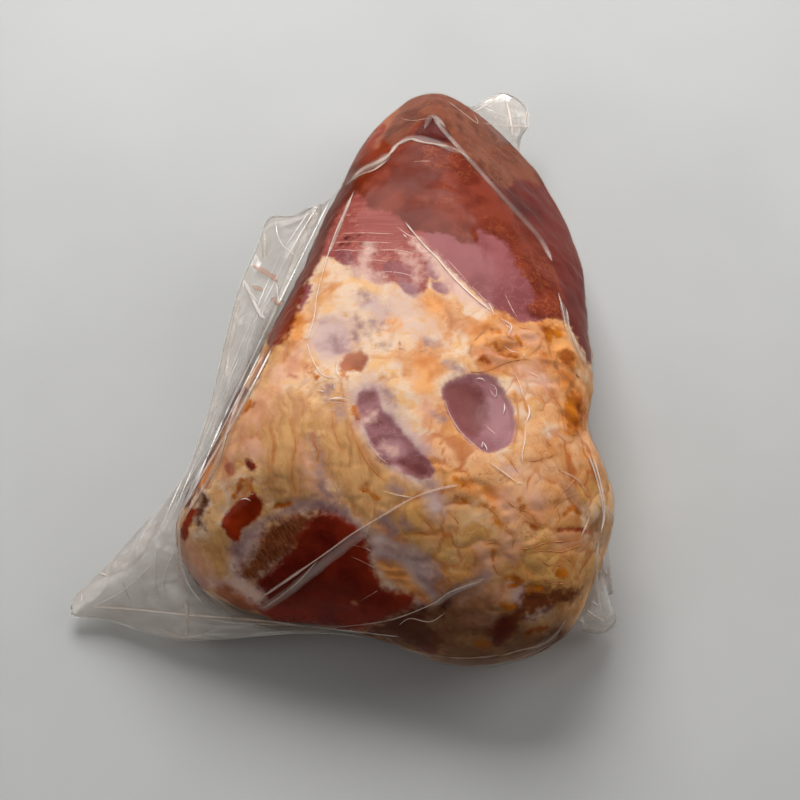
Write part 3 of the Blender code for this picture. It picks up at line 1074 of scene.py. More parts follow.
# Real folds of the loose flaps; the white colour of their ribs paints the highlights along them.
FLAP_LINES: tuple[Line, ...] = (
    Line(((330, 202), (300, 262), (262, 340), (224, 420), (190, 500)), 0.9),
    Line(((322, 200), (292, 250), (252, 330), (222, 400), (196, 462), (172, 520)), 0.7),
    Line(((312, 208), (278, 262), (246, 336), (214, 412), (184, 478), (158, 536)), 0.6),
    Line(((272, 350), (240, 412), (206, 470), (182, 512)), 0.9),
    Line(((262, 352), (228, 420), (196, 480), (176, 524)), 0.7),
    Line(((265, 232), (266, 250), (264, 262)), 0.8), Line(((158, 546), (155, 580), (160, 604)), 0.9),
    Line(((120, 576), (127, 592), (132, 606)), 0.9), Line(((180, 520), (180, 552), (187, 582), (204, 604))),
    Line(((176, 548), (164, 576), (166, 600)), 0.7), Line(((276, 222), (280, 244), (296, 256)), 0.6),
    Line(((190, 612), (230, 622), (290, 624), (350, 630), (400, 636)), 0.8),
    Line(((92, 606), (124, 590), (154, 562)), 0.6),
    Line(((588, 455), (597, 482), (603, 514), (600, 534)), 0.8),
    Line(((598, 540), (595, 566), (596, 589), (600, 610))), Line(((581, 593), (590, 600), (600, 606)), 0.9),
    Line(((577, 602), (592, 613), (605, 622))), Line(((582, 610), (594, 618), (604, 620)), 0.8),
    Line(((484, 108), (500, 116), (520, 118)), 0.8),
)

FLAP_GLINTS: tuple[Line, ...] = (
    Line(((186, 598), (188, 616), (186, 636)), 2.2), Line(((178, 548), (180, 572), (186, 592)), 1.2),
    Line(((92, 606), (140, 609), (187, 614), (244, 618), (300, 624)), 1.2),
    Line(((156, 625), (186, 638), (214, 629))), Line(((82, 602), (84, 586), (96, 573), (108, 576)), 1.3),
    Line(((472, 113), (484, 108), (496, 99)), 1.4), Line(((503, 92), (509, 112), (512, 136)), 1.8),
    Line(((526, 111), (528, 136)), 1.6), Line(((484, 124), (510, 127), (526, 126)), 1.1),
    Line(((592, 456), (600, 484), (604, 512), (600, 532)), 1.2),
    Line(((596, 548), (595, 574), (599, 600)), 1.5), Line(((572, 604), (590, 612), (604, 620)), 1.2),
    Line(((570, 624), (588, 628), (602, 624))), Line(((210, 440), (222, 412), (238, 384), (250, 360)), 0.8),
    Line(((196, 484), (180, 520), (176, 552)), 1.1),
)

FILM_BANDS: tuple[Line, ...] = (
    Line(((372, 524), (340, 548), (310, 572), (284, 592), (258, 608))),
    Line(((262, 376), (246, 402), (232, 432), (220, 462), (204, 492)), 0.9),
    Line(((346, 186), (362, 172), (380, 162), (392, 152)), 0.8),
    Line(((352, 196), (340, 226), (328, 256)), 0.4),
    Line(((433, 118), (446, 134), (460, 150), (478, 170), (500, 195), (520, 217), (540, 240),
          (552, 262)), 0.45),
    Line(((396, 146), (412, 138), (436, 143), (460, 154)), 0.6),
    Line(((424, 130), (432, 116), (446, 128)), 0.5), Line(((560, 300), (568, 330), (584, 366)), 0.5),
    Line(((262, 224), (265, 244), (266, 262)), 0.5),
    Line(((322, 204), (300, 250), (280, 300), (262, 340)), 0.6),
    Line(((240, 300), (232, 340), (226, 380)), 0.4), Line(((560, 480), (576, 500), (590, 520)), 0.8),
    Line(((420, 652), (470, 661), (520, 654), (560, 630)), 0.9),
    Line(((205, 588), (240, 612), (290, 624), (340, 626))), Line(((432, 606), (456, 590), (486, 578)), 0.5),
)

# Painted highlights: white lines where the crumpled flap catches the light.
CRUMPLE_HIGHLIGHTS: tuple[Line, ...] = (
    Line(((243, 277), (249, 290), (256, 304), (261, 316), (266, 319))),
    Line(((262, 318), (264, 307), (270, 299), (278, 294)), 0.9),
    Line(((246, 284), (252, 296), (258, 302)), 0.6), Line(((277, 284), (280, 296), (279, 304)), 0.5),
)

# Painted reflections: pink smears of the meat mirrored in the crumpled flap.
CRUMPLE_REFLECTIONS: tuple[Line, ...] = (
    Line(((244, 262), (258, 268), (270, 274), (277, 281)), 0.8),
    Line(((252, 286), (262, 290), (274, 299), (281, 306)), 0.8), Line(((275, 274), (278, 283)), 1.4),
    Line(((277, 300), (283, 306)), 1.5),
)


# Materials


def colour_of(red: int, green: int, blue: int) -> tuple[float, float, float, float]:
    """A shader's colour.

    Args:
        red: The red that a screen shows, from 0 to 255.
        green: Its green.
        blue: Its blue.

    Returns:
        The same colour in linear light, with full opacity.
    """

    def linear(value: float) -> float:
        """One channel without the screen's curve."""
        value /= 255
        return value / 12.92 if value <= 0.04045 else ((value + 0.055) / 1.055) ** 2.4

    return linear(red), linear(green), linear(blue), 1.0


class Value:
    """A number that changes over a surface, which Python's operators combine through Math nodes."""

    def __init__(self, tree: "ShaderTree", socket: bpy.types.NodeSocket) -> None:
        """Wraps an output socket of the tree."""
        self.tree = tree
        self.socket = socket

    def _math(self, operation: str, *values: "Value | float") -> "Value":
        """One Math node on the values."""
        return self.tree.node("ShaderNodeMath", {"operation": operation}, dict(enumerate(values)))

    def __add__(self, other: "Value | float") -> "Value":
        """The sum."""
        return self._math("ADD", self, other)

    __radd__ = __add__

    def __sub__(self, other: "Value | float") -> "Value":
        """This less the other."""
        return self._math("SUBTRACT", self, other)

    def __rsub__(self, other: float) -> "Value":
        """The other less this."""
        return self._math("SUBTRACT", other, self)

    def __mul__(self, other: "Value | float") -> "Value":
        """The product."""
        return self._math("MULTIPLY", self, other)

    __rmul__ = __mul__

    def size(self) -> "Value":
        """The number without its sign."""
        return self._math("ABSOLUTE", self)

    def capped(self, most: float) -> "Value":
        """The number, or the most where it is larger."""
        return self._math("MINIMUM", self, most)

    def over(self, other: "Value") -> "Value":
        """The larger of the two."""
        return self._math("MAXIMUM", self, other)

    def step(self, low: float, high: float) -> "Value":
        """An eased step.

        Args:
            low: Where it starts to rise from 0.
            high: Where it has reached 1.

        Returns:
            The value from 0 to 1.
        """
        settings = {"interpolation_type": "SMOOTHSTEP"}
        inputs = {"Value": self, "From Min": low, "From Max": high}
        return self.tree.node("ShaderNodeMapRange", settings, inputs)


class ShaderTree:
    """A material's nodes, written as expressions."""

    def __init__(self, name: str) -> None:
        """Starts a material that has no nodes but its coordinates.

        Args:
            name: The material's name.
        """
        self.material = bpy.data.materials.new(name)
        self.material.use_nodes = True
        self.nodes = self.material.node_tree.nodes
        self.links = self.material.node_tree.links
        self.nodes.clear()
        self.place = self.node("ShaderNodeTexCoord", output="Object")

    def node(
        self, kind: str, settings: dict | None = None, inputs: dict | None = None, output: str | int = 0,
    ) -> Value:
        """Adds a node.

        Args:
            kind: The node's type.
            settings: Its own settings, such as a Math node's operation, which are set first.
            inputs: A value, a colour or another node's output for each socket, by name or number.
            output: The output that is read, by name or number.

        Returns:
            The output, as a value for expressions.
        """
        made = self.nodes.new(kind)
        for name, setting in (settings or {}).items():
            setattr(made, name, setting)
        for key, value in (inputs or {}).items():
            socket = made.inputs[key]
            if isinstance(value, Value):
                self.links.new(value.socket, socket)
            else:
                socket.default_value = value
        return Value(self, made.outputs[output])

    def attribute(self, name: str) -> Value:
        """A number stored at the mesh's vertices."""
        return self.node("ShaderNodeAttribute", {"attribute_name": name}, output="Fac")

    def mix(self, first: "Value | tuple", second: "Value | tuple", share: "Value | float") -> Value:
        """A blend of two colours."""
        inputs = {0: share, 6: first, 7: second}
        return self.node("ShaderNodeMix", {"data_type": "RGBA", "clamp_factor": True}, inputs, output=2)

    def noise(self, size: float, detail: float, place: Value | None = None, rough: float = 0.55) -> Value:
        """Noise from 0 to 1.

        Args:
            size: The size of its features in millimetres.
            detail: How many finer octaves it has.
            place: Its coordinates, if not the object's own.
            rough: How strong each finer octave is.

        Returns:
            The noise.
        """
        scale = 1 / (size * MM)
        inputs = {"Vector": place or self.place, "Scale": scale, "Detail": detail, "Roughness": rough}
        return self.node("ShaderNodeTexNoise", None, inputs)

    def stretched(self, turn: float, along: float, across: float, place: Value | None = None) -> Value:
        """Coordinates turned by degrees and stretched, so that noise of size 1 mm makes fibres.

        Args:
            turn: The angle between the fibres and Y, seen from above.
            along: How many times longer features are along the fibres, and down a slope.
            across: How many times wider they are across them.
            place: The coordinates to start from, if not the object's own.

        Returns:
            The coordinates.
        """
        inputs = {
            "Vector": place or self.place,
            "Rotation": (0.0, 0.0, math.radians(turn)),
            "Scale": (across, along, along),
        }
        return self.node("ShaderNodeMapping", {"vector_type": "TEXTURE"}, inputs)

    def warped(self, size: float, shift: float) -> Value:
        """Coordinates pushed about by noise.

        Args:
            size: The size of the noise's features in millimetres.
            shift: How far it pushes, in millimetres.

        Returns:
            The coordinates.
        """
        inputs = {"Vector": self.place, "Scale": 1 / (size * MM), "Detail": 2.0}
        push = self.node("ShaderNodeTexNoise", None, inputs, "Color")
        kind = "ShaderNodeVectorMath"
        centred = self.node(kind, {"operation": "SUBTRACT"}, {0: push, 1: (0.5, 0.5, 0.5)})
        scaled = self.node(kind, {"operation": "SCALE"}, {0: centred, "Scale": 2 * shift * MM})
        return self.node(kind, {"operation": "ADD"}, {0: self.place, 1: scaled})

    def cell_edges(self, size: float, place: Value) -> Value:
        """The distance to the border between cells of that size, as a share of it."""
        settings = {"feature": "DISTANCE_TO_EDGE"}
        return self.node("ShaderNodeTexVoronoi", settings, {"Vector": place, "Scale": 1 / (size * MM)})

    def bump(self, height: Value, distance: float, strength: float = 1.0) -> Value:
        """A normal that shows a height as relief, its full range as deep as the distance in millimetres."""
        inputs = {"Height": height, "Distance": distance * MM, "Strength": strength}
        return self.node("ShaderNodeBump", None, inputs)

    def principled(self, inputs: dict) -> Value:
        """A Principled shader."""
        return self.node("ShaderNodeBsdfPrincipled", None, inputs)

    def finish(self, shader: Value) -> bpy.types.Material:
        """Joins the shader to the material's output.

        Args:
            shader: The shader.

        Returns:
            The material.
        """
        end = self.nodes.new("ShaderNodeOutputMaterial")
        self.links.new(shader.socket, end.inputs["Surface"])
        return self.material


class Grain(Enum):
    """The pattern that a tissue's two colours make."""

    MOTTLED = "mottled"
    BROAD = "broad"
    SHEET = "streaks of a sheet"
    CROSS_FIBRES = "cross fibres"
    RIBBED = "ribbed"


@dataclass(frozen=True)
class TissueFinish:
    """How one tissue looks: two colours and their pattern, its lines, its gloss and how its edge frays."""

    light: tuple[int, int, int]
    dark: tuple[int, int, int]
    grain: Grain = Grain.MOTTLED
    line: tuple[int, int, int] | None = None
    line_strength: float = 0.6
    roughness: float = 0.4
    frayed: float = 5.0
    soft: float = 1.2


TISSUE_FINISHES: dict[Tissue, TissueFinish] = {
    Tissue.LAVENDER: TissueFinish((204, 174, 170), (176, 140, 142), frayed=9.0, soft=5.0),
    Tissue.TAN: TissueFinish((212, 162, 108), (184, 128, 82), Grain.SHEET, frayed=10.0, soft=4.0),
    Tissue.ORANGE_FAT: TissueFinish(
        (232, 166, 104), (206, 124, 58), line=(180, 92, 40), frayed=7.0, soft=3.0,
    ),
    Tissue.ROSE: TissueFinish((222, 168, 142), (204, 142, 110), frayed=15.0, soft=6.0),
    Tissue.PINK: TissueFinish(
        (166, 88, 80), (146, 70, 66), Grain.CROSS_FIBRES,
        line=(222, 170, 150), line_strength=0.25, frayed=2.5,
    ),
    Tissue.MAUVE_AND_VEIL: TissueFinish(
        (160, 94, 98), (136, 72, 76), Grain.BROAD, line=(206, 146, 130), line_strength=0.2,
    ),
    Tissue.SMOKED: TissueFinish(
        (136, 60, 44), (110, 42, 28), line=(196, 112, 64), line_strength=0.4, roughness=0.34,
    ),
    Tissue.FAR_BROWN: TissueFinish(
        (136, 80, 62), (104, 54, 40), line=(176, 110, 78), line_strength=0.45, frayed=7.0,
    ),
    Tissue.MAROON: TissueFinish(
        (112, 44, 38), (72, 20, 20), Grain.BROAD, line=(150, 80, 60), line_strength=0.2, roughness=0.32,
    ),
    Tissue.STRIP: TissueFinish((130, 44, 10), (94, 28, 6), Grain.BROAD, roughness=0.3, soft=1.5),
    Tissue.VIOLET: TissueFinish((174, 140, 134), (142, 106, 106), frayed=9.0, soft=3.5),
    Tissue.VEIN: TissueFinish((206, 136, 76), (186, 112, 54), frayed=3.0, soft=2.0),
    Tissue.PURPLE: TissueFinish(
        (166, 114, 120), (148, 98, 104), Grain.BROAD,
        line=(192, 146, 146), line_strength=0.3, roughness=0.3, frayed=3.0,
    ),
    Tissue.DEEP_PURPLE: TissueFinish(
        (138, 82, 82), (112, 60, 62), Grain.BROAD,
        line=(160, 104, 104), line_strength=0.3, roughness=0.3, soft=2.5,
    ),
    Tissue.BROWN: TissueFinish((116, 60, 30), (82, 36, 16), frayed=13.0, soft=4.0),
    Tissue.FIBROUS: TissueFinish(
        (142, 80, 46), (102, 46, 24), Grain.RIBBED,
        line=(160, 100, 64), line_strength=0.2, frayed=9.0, soft=4.0,
    ),
    Tissue.DARK: TissueFinish(
        (136, 40, 18), (92, 16, 6), Grain.BROAD,
        line=(140, 56, 28), line_strength=0.2, roughness=0.28, frayed=6.0, soft=2.5,
    ),
    Tissue.SALMON: TissueFinish((180, 110, 80), (150, 84, 58), frayed=3.0),
    Tissue.PALE: TissueFinish((224, 188, 176), (200, 152, 142), frayed=8.0, soft=3.0),
    Tissue.AMBER: TissueFinish((200, 114, 22), (150, 70, 10), roughness=0.3, frayed=6.0, soft=1.4),
    Tissue.GLAZE: TissueFinish((148, 44, 8), (106, 24, 2), Grain.BROAD, roughness=0.12, frayed=3.0),
}


@dataclass(frozen=True)
class FatFinish:
    """How the fat looks: its colours and painted shade, and the gloss and fine relief that all of the meat
    has.
    """

    cream: tuple[int, int, int] = (228, 198, 172)
    yellow: tuple[int, int, int] = (230, 182, 130)
    peach: tuple[int, int, int] = (236, 182, 136)
    deep_peach: tuple[int, int, int] = (208, 140, 80)
    ochre: tuple[int, int, int] = (218, 166, 98)
    deep_ochre: tuple[int, int, int] = (188, 130, 66)
    # The next two colours are painted shade, laid on where the shade wash lies.
    painted_shade: tuple[int, int, int] = (128, 86, 60)
    painted_deep_shade: tuple[int, int, int] = (76, 42, 30)
    bruise: tuple[int, int, int] = (214, 178, 166)
    line: tuple[int, int, int] = (180, 96, 40)
    roughness: float = 0.42
    uneven_roughness: float = 0.12
    specular: float = 0.06
    relief_depth: float = 0.45
    relief_strength: float = 0.6


def fibre_patterns(tree: ShaderTree) -> dict[Grain, Value]:
    """The patterns that the tissues share.

    Args:
        tree: The material's nodes.

    Returns:
        The pattern of each grain, from 0 to 1.
    """
    cross_way = tree.stretched(86.0, along=16.0, across=1.0)
    ribs = tree.stretched(38.0, along=2.6, across=0.42)
    sheet = tree.stretched(8.0, along=3.6, across=1.0, place=tree.warped(16.0, 6.0))
    return {
        Grain.MOTTLED: tree.attribute(Pattern.MOTTLE.value),
        Grain.BROAD: tree.attribute(Pattern.BROAD.value),
        Grain.CROSS_FIBRES: tree.noise(1.8, 2.0, cross_way).step(0.3, 0.7),
        Grain.SHEET: tree.noise(4.4, 6.0, sheet, 0.62).step(0.36, 0.66),
        Grain.RIBBED: tree.noise(1.4, 2.0, ribs).step(0.3, 0.65),
    }


def meat_material() -> bpy.types.Material:
    """The joint's surface: fat with its lobes, each tissue laid over it where its outline says, and painted
    shade.

    Returns:
        The material.
    """
    tree = ShaderTree("Smoked pork")
    fat = FatFinish()
    patterns = fibre_patterns(tree)
    mottle, broad = patterns[Grain.MOTTLED], patterns[Grain.BROAD]
    fine = tree.noise(2.6, 2.0)
    peach, ochre, painted_shade = (tree.attribute(wash.value) for wash in Wash)
    lobe_edge = tree.attribute(Pattern.LOBE_EDGE.value)
    lines = (1 - lobe_edge.step(0.02, 0.14)) * broad.step(0.15, 0.5)
    curdled = tree.warped(9.0, 5.0)
    wisps = tree.noise(6.0, 3.0, curdled)
    islands = tree.noise(10.0, 4.0, curdled)
    threads = 1 - (wisps - 0.5).size().step(0.0, 0.035)

    colour = tree.mix(colour_of(*fat.yellow), colour_of(*fat.cream), islands.step(0.40, 0.54))
    colour = tree.mix(colour, colour_of(*fat.bruise), tree.attribute(Pattern.BRUISE.value))
    tone = tree.attribute(Pattern.LOBE_TONE.value)
    deep = tone * 0.8 + islands.step(0.62, 0.42) * 0.4
    warm = tree.mix(colour_of(*fat.peach), colour_of(*fat.deep_peach), deep)
    colour = tree.mix(colour, warm, (peach * 1.3 + (mottle - 0.5) * 0.9).step(0.1, 0.8) * 0.92)
    deep = tone * 0.4 + wisps.step(0.4, 0.62) * 0.6
    tan = tree.mix(colour_of(*fat.ochre), colour_of(*fat.deep_ochre), deep)
    colour = tree.mix(colour, tan, (ochre * 1.1 + (islands - 0.5) * 2.4).step(0.25, 0.8) * 0.9)
    drawn = lines.over(threads * mottle * 0.8) * (peach.over(ochre) * 0.8 + 0.1)
    colour = tree.mix(colour, colour_of(*fat.line), drawn)
    # Painted shade: the fat turns darker brown where the shade wash lies.
    colour = tree.mix(colour, colour_of(*fat.painted_shade), (painted_shade + (islands - 0.5) * 1.6).step(0.3, 1.2) * 0.75)

    frays = tree.noise(3.2, 3.0) - 0.5
    veins = threads * broad
    rough: Value | float = fat.roughness
    for tissue, finish in TISSUE_FINISHES.items():
        depth = tree.attribute(tissue.value)
        share = (depth + frays * finish.frayed).step(-finish.soft, finish.soft)
        tone = tree.mix(colour_of(*finish.light), colour_of(*finish.dark), patterns[finish.grain])
        if finish.line:
            tone = tree.mix(tone, colour_of(*finish.line), veins * finish.line_strength)
        colour = tree.mix(colour, tone, share)
        rough = share * (finish.roughness - rough) + rough
    # Painted shade once more, over the tissues as well, towards the near and right edges.
    colour = tree.mix(colour, colour_of(*fat.painted_deep_shade), painted_shade.step(0.3, 1.2) * 0.5)
    normal = tree.bump(fine * 0.5 + wisps * 0.5, fat.relief_depth, fat.relief_strength)
    shader = tree.principled({
        "Base Color": colour,
        "Roughness": rough + (fine - 0.5) * fat.uneven_roughness,
        "Normal": normal,
        "Specular IOR Level": fat.specular,
    })
    return tree.finish(shader)


@dataclass(frozen=True)
class FilmFinish:
    """How clear film looks: what it lets through, how it shines and how milky and patchy its folds are."""

    tint: tuple[int, int, int] = (251, 249, 246)
    milk: tuple[int, int, int] = (234, 226, 219)
    patchy: float = 0.0
    haze: float = 0.32
    tight_shine: float = 0.06
    loose_shine: float = 1.5
    most_shine: float = 0.4
    roughness: float = 0.16
    crumple_size: float = 16.0
    crumple_depth: float = 1.4
    tight_crumple: float = 0.22
    patch_size: float = 14.0
    refraction: float = 1.5
    milk_roughness: float = 0.3

    def material(self, name: str, milky: float = 0.0) -> bpy.types.Material:
        """Clear film, which lets light pass, glances it off by its angle and scatters a little of it.

        Args:
            name: The material's name.
            milky: The share of light that the whole film scatters, as where it is folded on itself.

        Returns:
            The material.
        """
        tree = ShaderTree(name)
        loose = tree.attribute("loose")
        crumple = tree.cell_edges(self.crumple_size, tree.warped(12.0, 4.0))
        normal = tree.bump(crumple * (loose + self.tight_crumple), self.crumple_depth)
        clear = tree.node("ShaderNodeBsdfTransparent", None, {"Color": colour_of(*self.tint)})
        mirror = tree.node("ShaderNodeBsdfGlossy", None, {
            "Color": (1, 1, 1, 1), "Roughness": self.roughness, "Normal": normal,
        })
        glance = tree.node("ShaderNodeFresnel", None, {"IOR": self.refraction}).capped(self.most_shine)
        shine = glance * (loose * (self.loose_shine - self.tight_shine) + self.tight_shine)
        glass = tree.node("ShaderNodeMixShader", None, {0: shine, 1: clear, 2: mirror})
        milk = tree.principled({
            "Base Color": colour_of(*self.milk), "Roughness": self.milk_roughness, "Normal": normal,
        })
        patches = tree.noise(self.patch_size, 2.0).step(0.3, 0.7) * self.patchy + (1 - self.patchy)
        share = loose * self.haze + tree.attribute("crease") + patches * milky
        return tree.finish(tree.node("ShaderNodeMixShader", None, {0: share, 1: glass, 2: milk}))


def plain_material(name: str, colour: tuple[int, int, int], roughness: float) -> bpy.types.Material:
    """A quiet surface with a faint change of tone, such as the floor.

    Args:
        name: The material's name.
        colour: Its colour, from 0 to 255.
        roughness: Its roughness.

    Returns:
        The material.
    """
    tree = ShaderTree(name)
    tone = tree.noise(160.0, 3.0).step(0.3, 0.7)
    darker = tuple(int(value * 0.97) for value in colour)
    shade = tree.mix(colour_of(*colour), colour_of(*darker), tone)
    return tree.finish(tree.principled({"Base Color": shade, "Roughness": roughness}))


# Node trees that make repeated shapes


class GeometryTree:
    """A Geometry Nodes group with named inputs, built in script."""

    def __init__(self, name: str, inputs: dict[str, tuple[str, object]]) -> None:
        """Starts a group that takes a mesh and the named inputs.

        Args:
            name: The group's name.
            inputs: Each input's socket type and its value to start with, which may be None.
        """
        self.group = bpy.data.node_groups.new(name, "GeometryNodeTree")
        sockets = self.group.interface
        sockets.new_socket("Geometry", in_out="INPUT", socket_type="NodeSocketGeometry")
        self.identifiers: dict[str, str] = {}
        for label, (kind, start) in inputs.items():
            made = sockets.new_socket(label, in_out="INPUT", socket_type=kind)
            if start is not None:
                made.default_value = start
            self.identifiers[label] = made.identifier
        sockets.new_socket("Geometry", in_out="OUTPUT", socket_type="NodeSocketGeometry")
        self.start = self.group.nodes.new("NodeGroupInput")
        self.end = self.group.nodes.new("NodeGroupOutput")

    def node(self, kind: str, settings: dict | None = None, inputs: dict | None = None) -> bpy.types.Node:
        """Adds a node.

        Args:
            kind: The node's type.
            settings: Its own settings, which are set first.
            inputs: A value or another node's socket for each socket, by name or number.

        Returns:
            The node.
        """
        made = self.group.nodes.new(kind)
        for name, setting in (settings or {}).items():
            setattr(made, name, setting)
        for key, value in (inputs or {}).items():
            if isinstance(value, bpy.types.NodeSocket):
                self.group.links.new(value, made.inputs[key])
            else:
                made.inputs[key].default_value = value
        return made

    def close(self, geometry: bpy.types.NodeSocket) -> None:
        """Joins the result to the group's output."""
        self.group.links.new(geometry, self.end.inputs[0])

    def applied(self, obj: bpy.types.Object, values: dict[str, object]) -> bpy.types.Mesh:
        """Runs the group on an object with these inputs and gives its result as a plain mesh.

        Args:
            obj: The object whose mesh goes in.
            values: The group's inputs by name.

        Returns:
            The new mesh, with the modifier removed from the object again.
        """
        modifier = obj.modifiers.new(self.group.name, "NODES")
        modifier.node_group = self.group
        for label, value in values.items():
            modifier[self.identifiers[label]] = value
        bpy.context.view_layer.update()
        graph = bpy.context.evaluated_depsgraph_get()
        made = bpy.data.meshes.new_from_object(obj.evaluated_get(graph))
        obj.modifiers.remove(modifier)
        return made


class RibTree(GeometryTree):
    """Round ribs that follow lines, as thick at each point as the mesh's girth says."""

    def __init__(self) -> None:
        """Builds the group: lines to curves, even steps, a ring swept along each."""
        super().__init__("Ribs along lines", {
            "Radius": ("NodeSocketFloat", 0.5 * MM),
            "Spacing": ("NodeSocketFloat", 1.5 * MM),
            "Sides": ("NodeSocketInt", 6),
            "Flatness": ("NodeSocketFloat", 1.0),
            "Finish": ("NodeSocketMaterial", None),
        })
        start = self.start.outputs
        curves = self.node("GeometryNodeMeshToCurve", None, {"Mesh": start["Geometry"]})
        even = self.node("GeometryNodeResampleCurve", {"mode": "LENGTH"}, {
            "Curve": curves.outputs[0], "Length": start["Spacing"],
        })
        level = self.node("GeometryNodeSetCurveNormal", {"mode": "Z_UP"}, {"Curve": even.outputs[0]})
        girth = self.node("GeometryNodeInputNamedAttribute", {"data_type": "FLOAT"}, {"Name": "girth"})
        ring = self.node("GeometryNodeCurvePrimitiveCircle", {"mode": "RADIUS"}, {
            "Resolution": start["Sides"], "Radius": start["Radius"],
        })
        squash = self.node("ShaderNodeCombineXYZ", None, {0: 1.0, 1: start["Flatness"], 2: 1.0})
        flat = self.node("GeometryNodeTransform", None, {
            "Geometry": ring.outputs[0], "Scale": squash.outputs[0],
        })
        sweep = self.node("GeometryNodeCurveToMesh", None, {
            "Curve": level.outputs[0], "Profile Curve": flat.outputs[0], "Fill Caps": True,
            "Scale": girth.outputs["Attribute"],
        })
        real = self.node("GeometryNodeRealizeInstances", None, {"Geometry": sweep.outputs[0]})
        soft = self.node("GeometryNodeSetShadeSmooth", None, {"Geometry": real.outputs[0]})
        dressed = self.node("GeometryNodeSetMaterial", None, {
            "Geometry": soft.outputs[0], "Material": start["Finish"],
        })
        self.close(dressed.outputs[0])


@dataclass
class Rib:
    """One line for the ribs: its points in millimetres and its girth at each, as a share of the radius."""

    points: Array
    girths: Array


BEAD_LENGTH = 5.0


def tapered(points: Array, share: float = 1.0, ends: float = 5.0, beads: float = 0.0) -> Rib:
    """A rib that thins out towards both ends.

    Args:
        points: The line's points.
        share: Its full girth.
        ends: The length over which each end thins out, in millimetres.
        beads: How far its girth swells and narrows at random, from 0 to 1.

    Returns:
        The rib.
    """
    steps = np.linalg.norm(np.diff(points, axis=0), axis=1)
    along = np.concatenate([[0.0], np.cumsum(steps)])
    count = int(along[-1] / BEAD_LENGTH) + 3
    swells = np.random.default_rng(len(points)).uniform(1 - beads, 1, count)
    uneven = np.interp(along / BEAD_LENGTH, np.arange(count), swells)
    thinning = smooth_step(np.minimum(along, along[-1] - along), -0.5, min(ends, 0.45 * along[-1]))
    return Rib(points, share * uneven * thinning)


def ribs_piece(
    name: str, ribs: Sequence[Rib], tree: RibTree, radius: float, finish: bpy.types.Material,
    flatness: float = 1.0,
) -> bpy.types.Object:
    """One piece that holds all the ribs.

    Args:
        name: The piece's name.
        ribs: The lines.
        tree: The node group that makes ribs.
        radius: The full radius in millimetres.
        finish: The material.
        flatness: The height of a rib's section as a share of its width.

    Returns:
        The piece, as a plain mesh.
    """
    points = np.vstack([rib.points for rib in ribs])
    edges: list[tuple[int, int]] = []
    first = 0
    for rib in ribs:
        last = first + len(rib.points)
        edges += [(k, k + 1) for k in range(first, last - 1)]
        first = last
    lines = bpy.data.meshes.new(name + "_lines")
    lines.from_pydata((points * MM).tolist(), edges, [])
    keep_values(lines, "girth", np.concatenate([rib.girths for rib in ribs]))
    piece = show(name, lines)
    piece.data = tree.applied(piece, {"Radius": radius * MM, "Flatness": flatness, "Finish": finish})
    bpy.data.meshes.remove(lines)
    return piece


# The joint of meat


